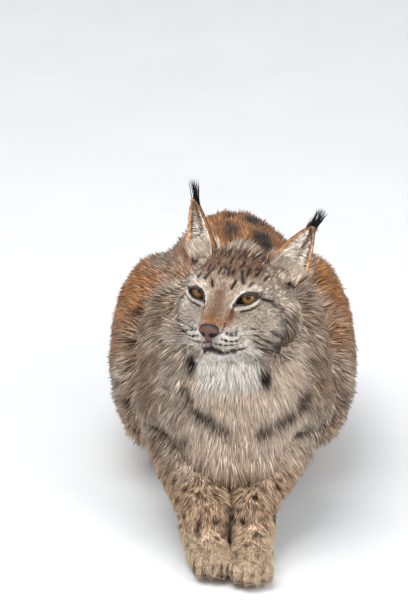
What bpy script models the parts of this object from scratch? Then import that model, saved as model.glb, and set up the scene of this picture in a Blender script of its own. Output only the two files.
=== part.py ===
"""A life-size Eurasian lynx, crouched with its forepaws together and its head turned to its right.

Metres, +Z up, on a floor at z = 0. The animal faces -Y, so its left side is +X. The body is first laid
out in centimetres round the eyes: x to the animal's left, y backwards and z up. The whole is moved at
the end, so that the origin is the middle of the box round it, at floor level.
"""

import math
import random

import bmesh
import bpy
import numpy as np
from mathutils import Matrix, Vector
from mathutils.bvhtree import BVHTree

# Driving dimensions in centimetres, out to the tips of the winter coat.
EYE_HEIGHT = 34.4
EYE_SPACING = 6.3
EYE_RADIUS = 1.22
EYE_OPENING = (1.27, 0.66)
EYE_SLANT = 21.0
LID = 0.1
MOUTH_HALF_WIDTH = 2.9
LIP_RADIUS = 0.26
BODY_X = 1.3
BACK_HEIGHT = 31.0
TRUNK_LENGTH = 58.0
TRUNK_HALF_WIDTH = 12.2
HIP_HALF_WIDTH = 15.6
HEAD_YAW, HEAD_PITCH, HEAD_ROLL = -17.5, -7.0, 4.0
EAR_HEIGHT = 7.0
EAR_WIDTH = 5.6
EAR_TUFT = 3.7
EAR_THICKNESS = 0.4
EAR_LEAN = {"left": 27, "right": 12}
EAR_TURN = {"left": 16, "right": 30}
TAIL_LENGTH = 17.0

# Locks of the long coat, in centimetres. Those of the ruff are counted a side.
LOCK_THICKNESS = 0.42
LOCK_ROOT = 0.7
RUFF_ROWS, RUFF_LOCKS, RUFF_LENGTH = 2, 7, 6.0
BIB_ROWS, BIB_LOCKS, BIB_LENGTH = 6, 6, 6.0
BIB_TOP, BIB_STEP, BIB_SPREAD = 26.2, 2.4, 68
FRINGE_LOCKS, FRINGE_LENGTH = 3, 5.0
SEED = 7

# The gap between neighbouring pieces, and how finely a form is remeshed, in centimetres.
GAP = 0.035
BODY_GRAIN = 0.7
LIMB_GRAIN = 0.4
HEAD_MIDDLE = (0, 2.4, -2.2)
HEAD_REACH = 14.0
NOSE_GRAIN = 0.1

# Linear red, green and blue, and roughness, of each kind of piece.
FINISHES = {
    "head": ((0.36, 0.26, 0.19), 0.85),
    "neck": ((0.48, 0.38, 0.30), 0.85),
    "torso": ((0.27, 0.17, 0.10), 0.85),
    "tail": ((0.20, 0.12, 0.07), 0.85),
    "foreleg": ((0.34, 0.24, 0.17), 0.85),
    "forepaw": ((0.45, 0.29, 0.17), 0.85),
    "hindleg": ((0.33, 0.16, 0.07), 0.85),
    "hindfoot": ((0.40, 0.26, 0.16), 0.85),
    "ear": ((0.30, 0.22, 0.17), 0.85),
    "eye": ((0.35, 0.15, 0.02), 0.05),
    "nose": ((0.15, 0.05, 0.04), 0.45),
}

CM = 0.01
SIDES = (("left", 1), ("right", -1))


def clear_scene():
    for obj in list(bpy.data.objects):
        bpy.data.objects.remove(obj)


def collection(name):
    made = bpy.data.collections.new(name)
    bpy.context.scene.collection.children.link(made)
    return made


def material(name, colour, roughness):
    """A Principled material; colour is linear red, green and blue."""
    made = bpy.data.materials.new(name)
    made.use_nodes = True
    shader = made.node_tree.nodes["Principled BSDF"]
    shader.inputs["Base Color"].default_value = (*colour, 1)
    shader.inputs["Roughness"].default_value = roughness
    return made


def finish_of(name):
    """The material of a node, from the first word of its name."""
    return material(name + "_finish", *FINISHES[name.split("_")[0]])


def object_of(name, form, home):
    """A new object from a bmesh, which is freed."""
    mesh = bpy.data.meshes.new(name)
    form.to_mesh(mesh)
    form.free()
    made = bpy.data.objects.new(name, mesh)
    home.objects.link(made)
    return made


def settle(obj):
    """Applies the object's modifiers."""
    graph = bpy.context.evaluated_depsgraph_get()
    mesh = bpy.data.meshes.new_from_object(obj.evaluated_get(graph))
    obj.modifiers.clear()
    obj.data = mesh
    return obj


def remove(*objects):
    for obj in objects:
        bpy.data.objects.remove(obj)


def add_ball(form, centre, radii, turn=(0, 0, 0), fineness=4):
    """An ellipsoid, turned about x, y and z in degrees. Centre and radii are centimetres."""
    spin = Matrix.Identity(4)
    for axis, angle in zip("XYZ", turn):
        spin = Matrix.Rotation(math.radians(angle), 4, axis) @ spin
    place = Matrix.Translation(Vector(centre) * CM) @ spin @ Matrix.Diagonal((*(Vector(radii) * CM), 1))
    bmesh.ops.create_icosphere(form, subdivisions=fineness, radius=1, matrix=place)


def add_limb(form, start, start_radius, end, end_radius, fineness=4):
    """A tapered capsule: the hull of two balls."""
    made = bmesh.new()
    add_ball(made, start, [start_radius] * 3, fineness=fineness)
    add_ball(made, end, [end_radius] * 3, fineness=fineness)
    hull = bmesh.ops.convex_hull(made, input=made.verts)
    bmesh.ops.delete(made, geom=hull["geom_interior"], context="VERTS")
    mesh = bpy.data.meshes.new("limb")
    made.to_mesh(mesh)
    made.free()
    form.from_mesh(mesh)
    bpy.data.meshes.remove(mesh)


def thinned(obj, triangles):
    """The object with about that many triangles, kept where the form bends most."""
    thin = obj.modifiers.new("thin", "DECIMATE")
    thin.ratio = min(1, triangles / sum(len(face.vertices) - 2 for face in obj.data.polygons))
    thin.use_collapse_triangulate = True
    return settle(obj)


def grow_together(name, form, home, grain, smoothing, triangles):
    """The forms in a bmesh fused into one soft skin, thinned to about that many triangles."""
    obj = object_of(name, form, home)
    remesh = obj.modifiers.new("fuse", "REMESH")
    remesh.mode = "VOXEL"
    remesh.voxel_size = grain * CM
    soften = obj.modifiers.new("soften", "SMOOTH")
    soften.factor = 0.5
    soften.iterations = smoothing
    return thinned(settle(obj), triangles)


def largest_shell(obj):
    """Keeps only the object's largest closed surface."""
    form = bmesh.new()
    form.from_mesh(obj.data)
    loose = set(form.verts)
    shells = []
    while loose:
        reached = [loose.pop()]
        shell = set(reached)
        while reached:
            for edge in reached.pop().link_edges:
                for vert in edge.verts:
                    if vert in loose:
                        loose.remove(vert)
                        shell.add(vert)
                        reached.append(vert)
        shells.append(shell)
    shells.sort(key=len)
    for shell in shells[:-1]:
        bmesh.ops.delete(form, geom=list(shell), context="VERTS")
    bmesh.ops.triangulate(form, faces=form.faces)
    form.to_mesh(obj.data)
    form.free()
    return obj


def boolean(obj, other, operation):
    """Every form is closed, so the manifold solver serves; the exact one loses some of these cuts whole."""
    change = obj.modifiers.new(operation.lower(), "BOOLEAN")
    change.operation = operation
    change.solver = "MANIFOLD"
    change.object = other
    settle(obj)
    return largest_shell(obj)


def copy_of(obj, name, home):
    made = bpy.data.objects.new(name, obj.data.copy())
    home.objects.link(made)
    return made


def grown(obj, home):
    """A copy that stands one gap further out all round."""
    made = copy_of(obj, obj.name + "_grown", home)
    swell = made.modifiers.new("swell", "DISPLACE")
    swell.mid_level = 0
    swell.strength = GAP * CM
    return settle(made)


def cut_clear(obj, others, home):
    """Cuts the object back until it clears each of the others by one gap."""
    for other in others:
        cutter = grown(other, home)
        boolean(obj, cutter, "DIFFERENCE")
        remove(cutter)
    return obj


def part_off(obj, region, name, home, helpers):
    """Parts the object at the region's skin: what lies in the region becomes a new object."""
    piece = copy_of(obj, name, home)
    boolean(piece, region, "INTERSECT")
    cut_clear(obj, [region], helpers)
    return piece


def ball_region(name, centre, radii, helpers, turn=(0, 0, 0)):
    form = bmesh.new()
    add_ball(form, centre, radii, turn)
    return thinned(object_of(name, form, helpers), 220)


def block_region(name, centre, sizes, helpers, tilt=0):
    """A box turned about x by tilt degrees."""
    form = bmesh.new()
    place = Matrix.Translation(Vector(centre) * CM) @ Matrix.Rotation(math.radians(tilt), 4, "X")
    bmesh.ops.create_cube(form, size=1, matrix=place @ Matrix.Diagonal((*(Vector(sizes) * CM), 1)))
    return object_of(name, form, helpers)


def add_lock(home, root, outward, along, length, width, lift):
    """A flat lock of hair: sunk at its root, lying along the coat, rising by lift and drawn to a point.

    It is a loft of lens-shaped sections. Root, length, width and lift are centimetres.
    """
    root, outward = Vector(root), Vector(outward).normalized()
    along = (Vector(along) - outward * outward.dot(Vector(along))).normalized()
    across = along.cross(outward)
    form = bmesh.new()
    rings = []
    for share, spread in ((0, 0.5), (0.42, 1.0), (0.76, 0.6)):
        rise = -LOCK_ROOT * (1 - share) ** 2 + lift * math.sin(share * math.pi / 2)
        middle = root + along * length * share + outward * rise
        half, thick = width / 2 * spread, LOCK_THICKNESS / 2 * (1.15 - 0.6 * share)
        corners = ((half, 0), (0, thick), (-half, 0), (0, -thick))
        rings.append([form.verts.new((middle + across * a + outward * b) * CM) for a, b in corners])
    tip = form.verts.new((root + along * length + outward * lift * 0.9) * CM)
    form.faces.new(rings[0])
    for near, far in zip(rings, rings[1:]):
        for i in range(4):
            form.faces.new((near[i], far[i], far[i - 3], near[i - 3]))
    for i in range(4):
        form.faces.new((rings[-1][i], tip, rings[-1][i - 3]))
    bmesh.ops.triangulate(form, faces=form.faces)
    bmesh.ops.recalc_face_normals(form, faces=form.faces)
    return object_of("lock", form, home)


def fuse(obj, locks, neighbours, helpers):
    """Cuts the locks of a collection clear of the neighbours, joins them to the object and removes them."""
    for neighbour in neighbours:
        cutter = grown(neighbour, helpers)
        for lock in locks.objects:
            cut = lock.modifiers.new("cut", "BOOLEAN")
            cut.solver = "MANIFOLD"
            cut.object = cutter
            settle(lock)
            largest_shell(lock)
        remove(cutter)
    remove(*[lock for lock in locks.objects if not lock.data.polygons])
    change = obj.modifiers.new("locks", "BOOLEAN")
    change.operation = "UNION"
    change.solver = "MANIFOLD"
    change.operand_type = "COLLECTION"
    change.collection = locks
    settle(obj)
    remove(*locks.objects)
    bpy.data.collections.remove(locks)
    return largest_shell(obj)


def head_place():
    """From the head's own frame, whose origin is midway between the eyes, to the body's."""
    turn = Matrix.Identity(4)
    for axis, angle in (("Y", HEAD_ROLL), ("Z", HEAD_YAW), ("X", HEAD_PITCH)):
        turn = Matrix.Rotation(math.radians(angle), 4, axis) @ turn
    return Matrix.Translation(Vector((0, 0, EYE_HEIGHT * CM))) @ turn


def on_body(side, out, back, up):
    """A point on one side of the body's middle plane."""
    return (BODY_X + side * out, back, up)


def make_body(home):
    """Trunk, neck, shoulders and thighs as one soft form, before it is parted."""
    form = bmesh.new()
    middle = BACK_HEIGHT - 12.2
    rump = TRUNK_LENGTH - 10.5
    add_ball(form, (BODY_X, 17, middle + 0.6), (TRUNK_HALF_WIDTH - 1.0, 14, 12.3), (-4, 0, 0))
    add_ball(form, (BODY_X, 32, middle), (TRUNK_HALF_WIDTH - 0.6, 16, 12.2))
    add_ball(form, (BODY_X, rump, middle - 2.2), (TRUNK_HALF_WIDTH - 2.4, 10.5, 11.0), (10, 0, 0))
    add_limb(form, (BODY_X, 17, BACK_HEIGHT - 8.0), 7.6, (BODY_X, 32, BACK_HEIGHT - 7.4), 7.4)
    add_limb(form, (BODY_X, 32, BACK_HEIGHT - 7.4), 7.4, (BODY_X, rump, BACK_HEIGHT - 10.2), 7.6)
    add_limb(form, (0.7, 8.3, EYE_HEIGHT - 5.5), 6.9, (BODY_X, 16, 23.5), 9.4)
    add_ball(form, (1.0, 7.4, 20.2), (8.7, 5.9, 11.0), (-8, 0, 0))
    for _, side in SIDES:
        add_ball(form, on_body(side, 6.8, 13.5, 21.5), (4.9, 7.6, 9.8), (-14, 0, 0))
        add_limb(form, on_body(side, 7.6, 9.5, 19), 4.4, on_body(side, 8.2, 15.5, 14.6), 3.8)
        add_ball(form, on_body(side, HIP_HALF_WIDTH - 5.3, 36, 16.5), (4.9, 12.6, 10.2), (-20, side * -8, 0))
        add_ball(form, on_body(side, HIP_HALF_WIDTH - 4.4, 29.5, 14.6), (4.1, 7.4, 9.4), (12, 0, 0))
        add_ball(form, on_body(side, 8.6, 46, 12.5), (4.8, 9.6, 9.6), (16, 0, 0))
        add_limb(form, on_body(side, 9.6, 30, 8.4), 4.6, on_body(side, 7.6, 49, 7.4), 4.2)
    return grow_together("torso", form, home, BODY_GRAIN, 26, 1300)


def make_foreleg(side, home):
    """Forearm and paw as one soft form. The right foreleg stands nearer the middle, its paw turned in."""
    form = bmesh.new()
    wrist = (3.3, 3.4, 6.8) if side > 0 else (-2.2, 2.8, 6.8)
    toes = (3.3, -4.2, 1.9) if side > 0 else (-1.3, -2.2, 1.9)
    yaw = -3 if side > 0 else 16
    thick = 3.0 if side > 0 else 3.3
    add_limb(form, on_body(side, 8.0, 15.5, 15), 4.2, wrist, thick)
    add_limb(form, wrist, thick, (wrist[0], wrist[1] - 1.4, 3.2), 2.8)
    along = Vector((math.sin(math.radians(yaw)), -math.cos(math.radians(yaw)), 0))
    across = Vector((-along.y, along.x, 0))
    heel = Vector((wrist[0], wrist[1] - 1.2, 2.6))
    add_ball(form, (heel + Vector(toes)) / 2, (2.7, 4.4, 2.6), (0, 0, yaw))
    for place, reach in ((-1.5, 0.5), (-0.52, 1.3), (0.52, 1.3), (1.5, 0.5)):
        add_ball(form, Vector(toes) + across * place * 1.2 + along * reach, (0.98, 1.75, 1.55), (0, 0, yaw))
    return grow_together("foreleg", form, home, LIMB_GRAIN, 4, 450)


def make_hindfoot(side, home):
    """Hock, metatarsus and paw, flat on the floor."""
    form = bmesh.new()
    add_limb(form, on_body(side, 7.0, 51.5, 4.2), 3.5, on_body(side, 6.2, 38, 3.0), 2.9)
    add_ball(form, on_body(side, 6.0, 35.5, 2.5), (3.0, 4.8, 2.8))
    for place, reach in ((-1.5, 0), (-0.52, 0.8), (0.52, 0.8), (1.5, 0)):
        add_ball(form, on_body(side, 6.0 + place * 1.35, 32.6 - reach, 1.9), (1.05, 1.9, 1.65))
    return grow_together("hindfoot", form, home, LIMB_GRAIN, 4, 330)


def make_tail(home):
    """A short bushy tail, down to the floor and along it."""
    form = bmesh.new()
    root = Vector((BODY_X, TRUNK_LENGTH - 5, 14.5))
    bend = Vector((BODY_X + 1.2, TRUNK_LENGTH + 1.0, 6.4))
    rest = Vector((BODY_X + 4.4, TRUNK_LENGTH + 3.2, 3.5))
    tip = rest + Vector((0.9, 0.3, -0.03)) * (TAIL_LENGTH - 11)
    add_limb(form, root, 4.0, bend, 3.6)
    add_limb(form, bend, 3.6, rest, 3.4)
    add_limb(form, rest, 3.4, tip, 3.2)
    return grow_together("tail", form, home, LIMB_GRAIN, 6, 260)


def ball_distance(points, centre, radii):
    """About how far points lie outside an ellipsoid."""
    near = (points - np.array(centre)) / np.array(radii)
    size = np.linalg.norm(near, axis=-1)
    slope = np.linalg.norm(near / np.array(radii), axis=-1)
    return size * (size - 1) / np.maximum(slope, 1e-6)


def limb_distance(points, start, start_radius, end, end_radius):
    """How far points lie outside a tapered limb."""
    start, along = np.array(start, float), np.array(end, float) - np.array(start, float)
    share = np.clip((points - start) @ along / (along @ along), 0, 1)
    reach = np.linalg.norm(points - start - share[..., None] * along, axis=-1)
    return reach - start_radius - share * (end_radius - start_radius)


def melted(blend, forms):
    """The distance to forms that melt into each other: exp(-distance / blend) sums to one at the skin."""
    return -blend * np.log(sum(np.exp(-form / blend) for form in forms))


def head_distance(points):
    """How far points lie outside the furred head. Both sides are alike, so x counts from the middle plane."""
    points = np.concatenate([abs(points[..., :1]), points[..., 1:]], axis=-1)
    eye = EYE_SPACING / 2
    skull = melted(0.9, [
        ball_distance(points, (0, 5.6, 0.2), (5.2, 5.6, 4.3)),
        ball_distance(points, (0, 2.6, 0.7), (4.3, 3.1, 2.7)),
        ball_distance(points, (0, 3.2, -1.8), (5.2, 3.6, 3.6)),
        ball_distance(points, (4.3, 5.0, -3.9), (2.8, 3.6, 3.4)),
        ball_distance(points, (4.3, 7.6, -2.6), (2.8, 3.0, 3.4)),
        ball_distance(points, (0, 4.8, -5.2), (4.4, 3.9, 2.8)),
        limb_distance(points, (0, 1.2, -3.5), 3.0, (0, -1.7, -4.0), 1.9),
    ])
    return melted(0.4, [
        skull,
        ball_distance(points, (4.2, 7.3, 1.2), (2.3, 1.6, 1.5)),
        limb_distance(points, (0, 0.6, 0.1), 1.7, (0, -3.8, -2.9), 1.0),
        limb_distance(points, (1.0, 0.4, -0.1), 1.1, (0.6, -3.7, -2.8), 0.75),
        ball_distance(points, (1.6, -2.8, -4.25), (1.65, 2.0, 1.3)),
        limb_distance(points, (0, 1.6, -5.7), 2.6, (0, -1.9, -6.1), 1.35),
        ball_distance(points, (eye - 0.4, 0.6, 1.25), (1.9, 1.2, 0.7)),
        ball_distance(points, (eye + 0.2, 0.9, -1.7), (1.7, 1.3, 0.8)),
        ball_distance(points, (eye, 0, 0), [EYE_RADIUS + LID] * 3),
    ])


def on_head(rays):
    """Where rays from HEAD_MIDDLE leave the furred skin for good."""
    rays = rays / np.linalg.norm(rays, axis=-1, keepdims=True)
    middle = np.array(HEAD_MIDDLE)
    outside = np.ones(len(rays), bool)
    far = np.full(len(rays), HEAD_REACH)
    for distance in np.arange(HEAD_REACH, 0, -0.2):
        outside &= head_distance(middle + rays * distance) > 0
        far[outside] = distance
    near = far - 0.2
    for _ in range(8):
        half = (near + far) / 2
        out = head_distance(middle + rays * half[:, None]) > 0
        far, near = np.where(out, half, far), np.where(out, near, half)
    return middle + rays * near[:, None]


def make_head(home):
    """A ball whose points are moved along their rays to the furred skin, with lips along the mouth."""
    form = bmesh.new()
    bmesh.ops.create_icosphere(form, subdivisions=6, radius=1)
    places = on_head(np.array([vert.co for vert in form.verts]))
    for vert, place in zip(form.verts, places):
        vert.co = Vector(place) * CM
    head = thinned(object_of("head", form, home), 1500)
    lips = mouth_roll("lips", LIP_RADIUS, 0, home)
    boolean(head, lips, "UNION")
    line = mouth_roll("line", LIP_RADIUS * 0.45, LIP_RADIUS * 0.85, home)
    boolean(head, line, "DIFFERENCE")
    remove(lips, line)
    return head


def mouth_roll(name, radius, proud, home):
    """A thin roll along the mouth, from corner to corner: down from under the nose, then back and up."""
    share = np.linspace(-1, 1, 17)
    side = np.sin(share * math.pi / 2)
    rays = np.stack([
        side * MOUTH_HALF_WIDTH,
        -6.3 + 3.6 * side**2,
        -5.35 - 0.5 * np.sin(abs(share) * math.pi) + 0.25 * side**2 - np.array(HEAD_MIDDLE)[2],
    ], axis=1)
    places = on_head(rays)
    places += proud * rays / np.linalg.norm(rays, axis=1, keepdims=True)
    form = bmesh.new()
    for start, end in zip(places, places[1:]):
        add_limb(form, start, radius, end, radius, 2)
    roll = object_of(name, form, home)
    remesh = roll.modifiers.new("fuse", "REMESH")
    remesh.mode = "VOXEL"
    remesh.voxel_size = radius * 0.3 * CM
    return thinned(settle(roll), 130)


def add_ruff(head, neighbours, helpers):
    """The facial ruff: rows of locks from under the ears down to the throat, longest at its lower corners.

    On the right, the side that the head turns to, the neck pushes it outwards.
    """
    draws = random.Random(SEED)
    locks = collection("ruff")
    for _, side in SIDES:
        push = 0 if side > 0 else 0.4
        for row in range(RUFF_ROWS):
            for i in range(RUFF_LOCKS):
                turn = math.radians(76 + (i + 0.5 * (row % 2)) * 84 / RUFF_LOCKS)
                back = math.radians(7 + 25 * row - 8 * math.cos(2 * turn))
                ray = np.array([[side * math.sin(turn) * math.cos(back), math.sin(back),
                                 math.cos(turn) * math.cos(back)]])
                places = on_head(np.concatenate([ray, ray + (0, 0.05, 0), ray + (0.05 * side, 0, 0.05)]))
                across = np.cross(places[1] - places[0], places[2] - places[0])
                outward = Vector(across * math.copysign(1, across @ ray[0])).normalized()
                outward.z = max(outward.z, -0.3)
                corner = math.exp(-((math.degrees(turn) - 135) / 28) ** 2)
                length = RUFF_LENGTH * (0.66 + 0.34 * corner) * draws.uniform(0.88, 1.12)
                along = Vector((side * (0.45 + 0.25 * corner + push), 0.55 - 0.35 * corner - push, -1))
                root = Vector(places[0]) - along.normalized() * 0.5
                add_lock(locks, root, outward, along, length, draws.uniform(2.2, 2.8),
                         draws.uniform(0.7, 1.1) + 0.6 * corner + push)
    place = head_place()
    for lock in locks.objects:
        lock.data.transform(place)
    return fuse(head, locks, neighbours, helpers)


def skin_of(obj):
    """A tree of the object's faces, for rays."""
    form = bmesh.new()
    form.from_mesh(obj.data)
    tree = BVHTree.FromBMesh(form)
    form.free()
    return tree


def add_bib(neck, neighbours, helpers):
    """The long coat of throat and chest: rows of overlapping locks that hang down and a little outwards."""
    draws = random.Random(SEED + 1)
    skin = skin_of(neck)
    locks = collection("bib")
    for row in range(BIB_ROWS):
        high = BIB_TOP - row * BIB_STEP
        for i in range(BIB_LOCKS):
            spread = (i + 0.5 * (row % 2)) / (BIB_LOCKS - 0.5) * 2 - 1
            turn = math.radians(BIB_SPREAD) * spread + draws.uniform(-0.05, 0.05)
            axis = Vector((BODY_X - 0.3, 9, high + draws.uniform(-0.4, 0.4)))
            ray = Vector((math.sin(turn), -math.cos(turn), 0))
            place, outward, _, _ = skin.ray_cast((axis + ray * 30) * CM, -ray)
            if place is None:
                continue
            outward.z = min(max(outward.z, -0.3), 0.3)
            along = Vector((0.3 * math.sin(turn), 0.0, -1))
            add_lock(locks, place / CM, outward, along, BIB_LENGTH * draws.uniform(0.85, 1.15),
                     draws.uniform(3.1, 3.9), draws.uniform(0.6, 1.0))
    return fuse(neck, locks, neighbours, helpers)


def add_fringe(torso, neighbours, helpers):
    """The coat between and beside the forelegs: locks that hang from the lower edge of the chest."""
    draws = random.Random(SEED + 2)
    skin = skin_of(torso)
    locks = collection("fringe")
    for out, back in ((5.5, 8.4), (6.5, 11.0)):
        for i in range(FRINGE_LOCKS):
            spread = 2 * i / (FRINGE_LOCKS - 1) - 1
            place_x = BODY_X - 0.6 + out * spread
            start = Vector((place_x, back + 0.04 * (place_x - BODY_X) ** 2, 0))
            place, outward, _, _ = skin.ray_cast(start * CM, Vector((0, 0, 1)))
            if place is None:
                continue
            add_lock(locks, place / CM, outward + Vector((0, -0.9, 0)), Vector((0.15 * spread, 0.1, -1)),
                     FRINGE_LENGTH * draws.uniform(0.85, 1.15), draws.uniform(2.2, 2.8), 0.3)
    return fuse(torso, locks, neighbours, helpers)


def make_eye(name, side, home):
    form = bmesh.new()
    bmesh.ops.create_uvsphere(form, u_segments=14, v_segments=9, radius=EYE_RADIUS * CM,
                              matrix=Matrix.Rotation(math.pi / 2, 4, "X"))
    eye = object_of(name, form, home)
    eye.data.transform(Matrix.Translation((side * EYE_SPACING / 2 * CM, 0, 0)))
    return eye


def eye_opening(side, helpers):
    """A bar through the lids. Its section is an almond, lowest at the inner corner."""
    form = bmesh.new()
    bmesh.ops.create_cone(form, cap_ends=True, segments=18, radius1=1, radius2=1, depth=3)
    for vert in form.verts:
        vert.co.y *= abs(vert.co.y) ** 0.4
    wide, high = EYE_OPENING
    slant = Matrix.Rotation(math.radians(-side * EYE_SLANT), 4, "Y")
    facing = Matrix.Rotation(math.pi / 2, 4, "X") @ Matrix.Diagonal((wide, high, 1, 1))
    place = Matrix.Translation((side * EYE_SPACING / 2, -2.1, 0)) @ slant @ facing
    bmesh.ops.transform(form, matrix=Matrix.Scale(CM, 4) @ place, verts=form.verts)
    return object_of("eye_opening", form, helpers)


def make_nose(home):
    """The bare nose pad, broad above and narrow below."""
    form = bmesh.new()
    for _, side in SIDES:
        add_ball(form, (side * 0.62, -5.0, -3.05), (0.72, 0.75, 0.78))
    add_ball(form, (0, -5.1, -3.1), (0.85, 0.72, 0.85))
    add_ball(form, (0, -4.95, -3.85), (0.45, 0.6, 0.6))
    nose = grow_together("nose", form, home, NOSE_GRAIN, 3, 180)
    for _, side in SIDES:
        form = bmesh.new()
        add_limb(form, (side * 0.5, -6.0, -3.2), 0.2, (side * 0.85, -5.2, -3.3), 0.16, 2)
        add_limb(form, (side * 0.85, -5.2, -3.3), 0.16, (side * 1.5, -4.9, -3.45), 0.12, 2)
        nostril = grow_together("nostril", form, home, NOSE_GRAIN / 2, 1, 40)
        boolean(nose, nostril, "DIFFERENCE")
        remove(nostril)
    return nose


def make_ear(word, side, home, helpers):
    """A cupped, pointed ear with a tuft of locks at its tip, in the head's own frame.

    The left ear leans further out and opens forwards; the right one opens more to its side.
    """
    form = bmesh.new()
    bmesh.ops.create_grid(form, x_segments=6, y_segments=8, size=0.5)
    for vert in form.verts:
        across, up = vert.co.x * 2, vert.co.y + 0.5
        half = EAR_WIDTH / 2 * (1 - up) ** 0.72 * min(1, 0.75 + 1.2 * up)
        cup = 1.7 * (1 - up) ** 0.5 * (1 - across**2)
        vert.co = Vector((across * half, cup, up * EAR_HEIGHT)) * CM
    bmesh.ops.remove_doubles(form, verts=form.verts, dist=0.0002)
    ear = object_of("ear_" + word, form, home)
    shell = ear.modifiers.new("shell", "SOLIDIFY")
    shell.thickness = EAR_THICKNESS * CM
    shell.offset = 0
    settle(ear)
    tuft = collection("tuft")
    for fan in (-1, 0, 1):
        root = (0.12 * fan, 0.1 * abs(fan), EAR_HEIGHT - 1.1)
        length = EAR_TUFT * (1 - 0.16 * abs(fan))
        add_lock(tuft, root, (0.3 * fan, -1, 0), (0.14 * fan, 0.05, 1), length, 0.75, 0)
    fuse(ear, tuft, [], helpers)
    lean = Matrix.Rotation(math.radians(side * EAR_LEAN[word]), 4, "Y")
    turn = Matrix.Rotation(math.radians(side * EAR_TURN[word]), 4, "Z")
    low = Vector((side * 4.95, 6.7, 1.6 if side > 0 else 2.3))
    ear.data.transform(Matrix.Translation(low * CM) @ lean @ turn)
    return ear


def make_all():
    clear_scene()
    home = collection("eurasian_lynx")
    helpers = collection("cutters")
    torso = make_body(home)
    neck = part_off(torso, block_region("neck_region", (0, -3.2, 30.4), (60, 26, 60), helpers, -29),
                    "neck", home, helpers)
    pieces = [torso, neck]
    for word, side in SIDES:
        region = ball_region("thigh_region", on_body(side, 13.2, 35, 15), (7.4, 15.5, 14.6), helpers)
        thigh = part_off(torso, region, "hindleg_" + word, home, helpers)
        region = ball_region("arm_region", on_body(side, 11.6, 12.8, 18), (5.8, 9.2, 11.5), helpers,
                             (-14, 0, 0))
        arm = part_off(torso, region, "foreleg_" + word, home, helpers)
        foreleg = make_foreleg(side, home)
        paw = part_off(foreleg, block_region("wrist", (0, 0, 0), (60, 60, 10.4), helpers), "forepaw_" + word,
                       home, helpers)
        boolean(arm, foreleg, "UNION")
        cut_clear(torso, [foreleg], helpers)
        cut_clear(neck, [foreleg, paw], helpers)
        remove(foreleg)
        foot = make_hindfoot(side, home)
        foot.name = "hindfoot_" + word
        cut_clear(thigh, [foot, arm], helpers)
        cut_clear(torso, [foot], helpers)
        cut_clear(neck, [arm], helpers)
        pieces += [thigh, arm, paw, foot]
    left_foreleg = [bpy.data.objects["foreleg_left"], bpy.data.objects["forepaw_left"]]
    cut_clear(bpy.data.objects["foreleg_right"], left_foreleg, helpers)
    cut_clear(bpy.data.objects["forepaw_right"], left_foreleg, helpers)
    tail = make_tail(home)
    cut_clear(torso, [tail], helpers)
    pieces.append(tail)

    head = make_head(home)
    nose = make_nose(home)
    cut_clear(head, [nose], helpers)
    head_pieces = [head, nose]
    for word, side in SIDES:
        eye = make_eye("eye_" + word, side, home)
        opening = eye_opening(side, helpers)
        boolean(head, opening, "DIFFERENCE")
        remove(opening)
        cut_clear(head, [eye], helpers)
        ear = make_ear(word, side, home, helpers)
        cut_clear(ear, [head], helpers)
        head_pieces += [eye, ear]
    for piece in head_pieces:
        piece.data.transform(head_place())
    cut_clear(neck, [head], helpers)
    cut_clear(torso, [head], helpers)
    pieces += head_pieces

    arms = [bpy.data.objects["foreleg_left"], bpy.data.objects["foreleg_right"]]
    add_ruff(head, [neck, torso], helpers)
    add_bib(neck, [head, torso, *arms], helpers)
    add_fringe(torso, [neck, *arms], helpers)

    floor = block_region("floor", (0, 30, -10), (200, 200, 20), helpers)
    for piece in pieces:
        boolean(piece, floor, "DIFFERENCE")
        piece.data.materials.clear()
        piece.data.materials.append(finish_of(piece.name))

    corners = [vert.co for piece in pieces for vert in piece.data.vertices]
    low = Vector([min(c[i] for c in corners) for i in range(3)])
    high = Vector([max(c[i] for c in corners) for i in range(3)])
    shift = Matrix.Translation((-(low.x + high.x) / 2, -(low.y + high.y) / 2, -low.z))
    for piece in pieces:
        piece.data.transform(shift)
    for obj in list(helpers.objects):
        bpy.data.objects.remove(obj)


make_all()
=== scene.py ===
import math

import bmesh
import bpy
import numpy as np
from mathutils import Matrix, Vector


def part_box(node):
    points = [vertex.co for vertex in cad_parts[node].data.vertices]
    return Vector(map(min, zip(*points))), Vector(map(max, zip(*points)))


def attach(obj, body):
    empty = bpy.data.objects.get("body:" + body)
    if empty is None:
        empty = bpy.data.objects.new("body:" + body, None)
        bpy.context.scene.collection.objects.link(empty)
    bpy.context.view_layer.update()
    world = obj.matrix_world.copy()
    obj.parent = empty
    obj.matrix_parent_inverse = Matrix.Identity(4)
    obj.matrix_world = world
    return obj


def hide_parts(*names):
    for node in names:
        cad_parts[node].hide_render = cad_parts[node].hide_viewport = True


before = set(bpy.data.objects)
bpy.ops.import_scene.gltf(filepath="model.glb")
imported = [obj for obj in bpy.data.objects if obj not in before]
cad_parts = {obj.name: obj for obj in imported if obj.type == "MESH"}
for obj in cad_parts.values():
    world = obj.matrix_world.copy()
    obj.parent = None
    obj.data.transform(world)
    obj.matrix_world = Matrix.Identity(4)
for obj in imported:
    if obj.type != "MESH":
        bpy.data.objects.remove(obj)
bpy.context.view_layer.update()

# Studio. A pale painted floor that runs on as the backdrop, two large soft lamps and an even sky, as flat
# as overcast daylight. The camera looks down by 20 degrees through a long lens, from 5.2 m.
CM = 0.01
eye_boxes = [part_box("eye_left"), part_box("eye_right")]
EYE_MIDDLE = sum((low + high for low, high in eye_boxes), Vector()) / 4
BODY_ORIGIN = np.array((EYE_MIDDLE.x, EYE_MIDDLE.y, 0))
CAMERA_DISTANCE, CAMERA_ELEVATION, VIEW_HEIGHT = 5.2, 20.0, 0.7075
EYES_RIGHT_OF_AXIS, EYES_ABOVE_AXIS = 0.0228, 0.0119
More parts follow.
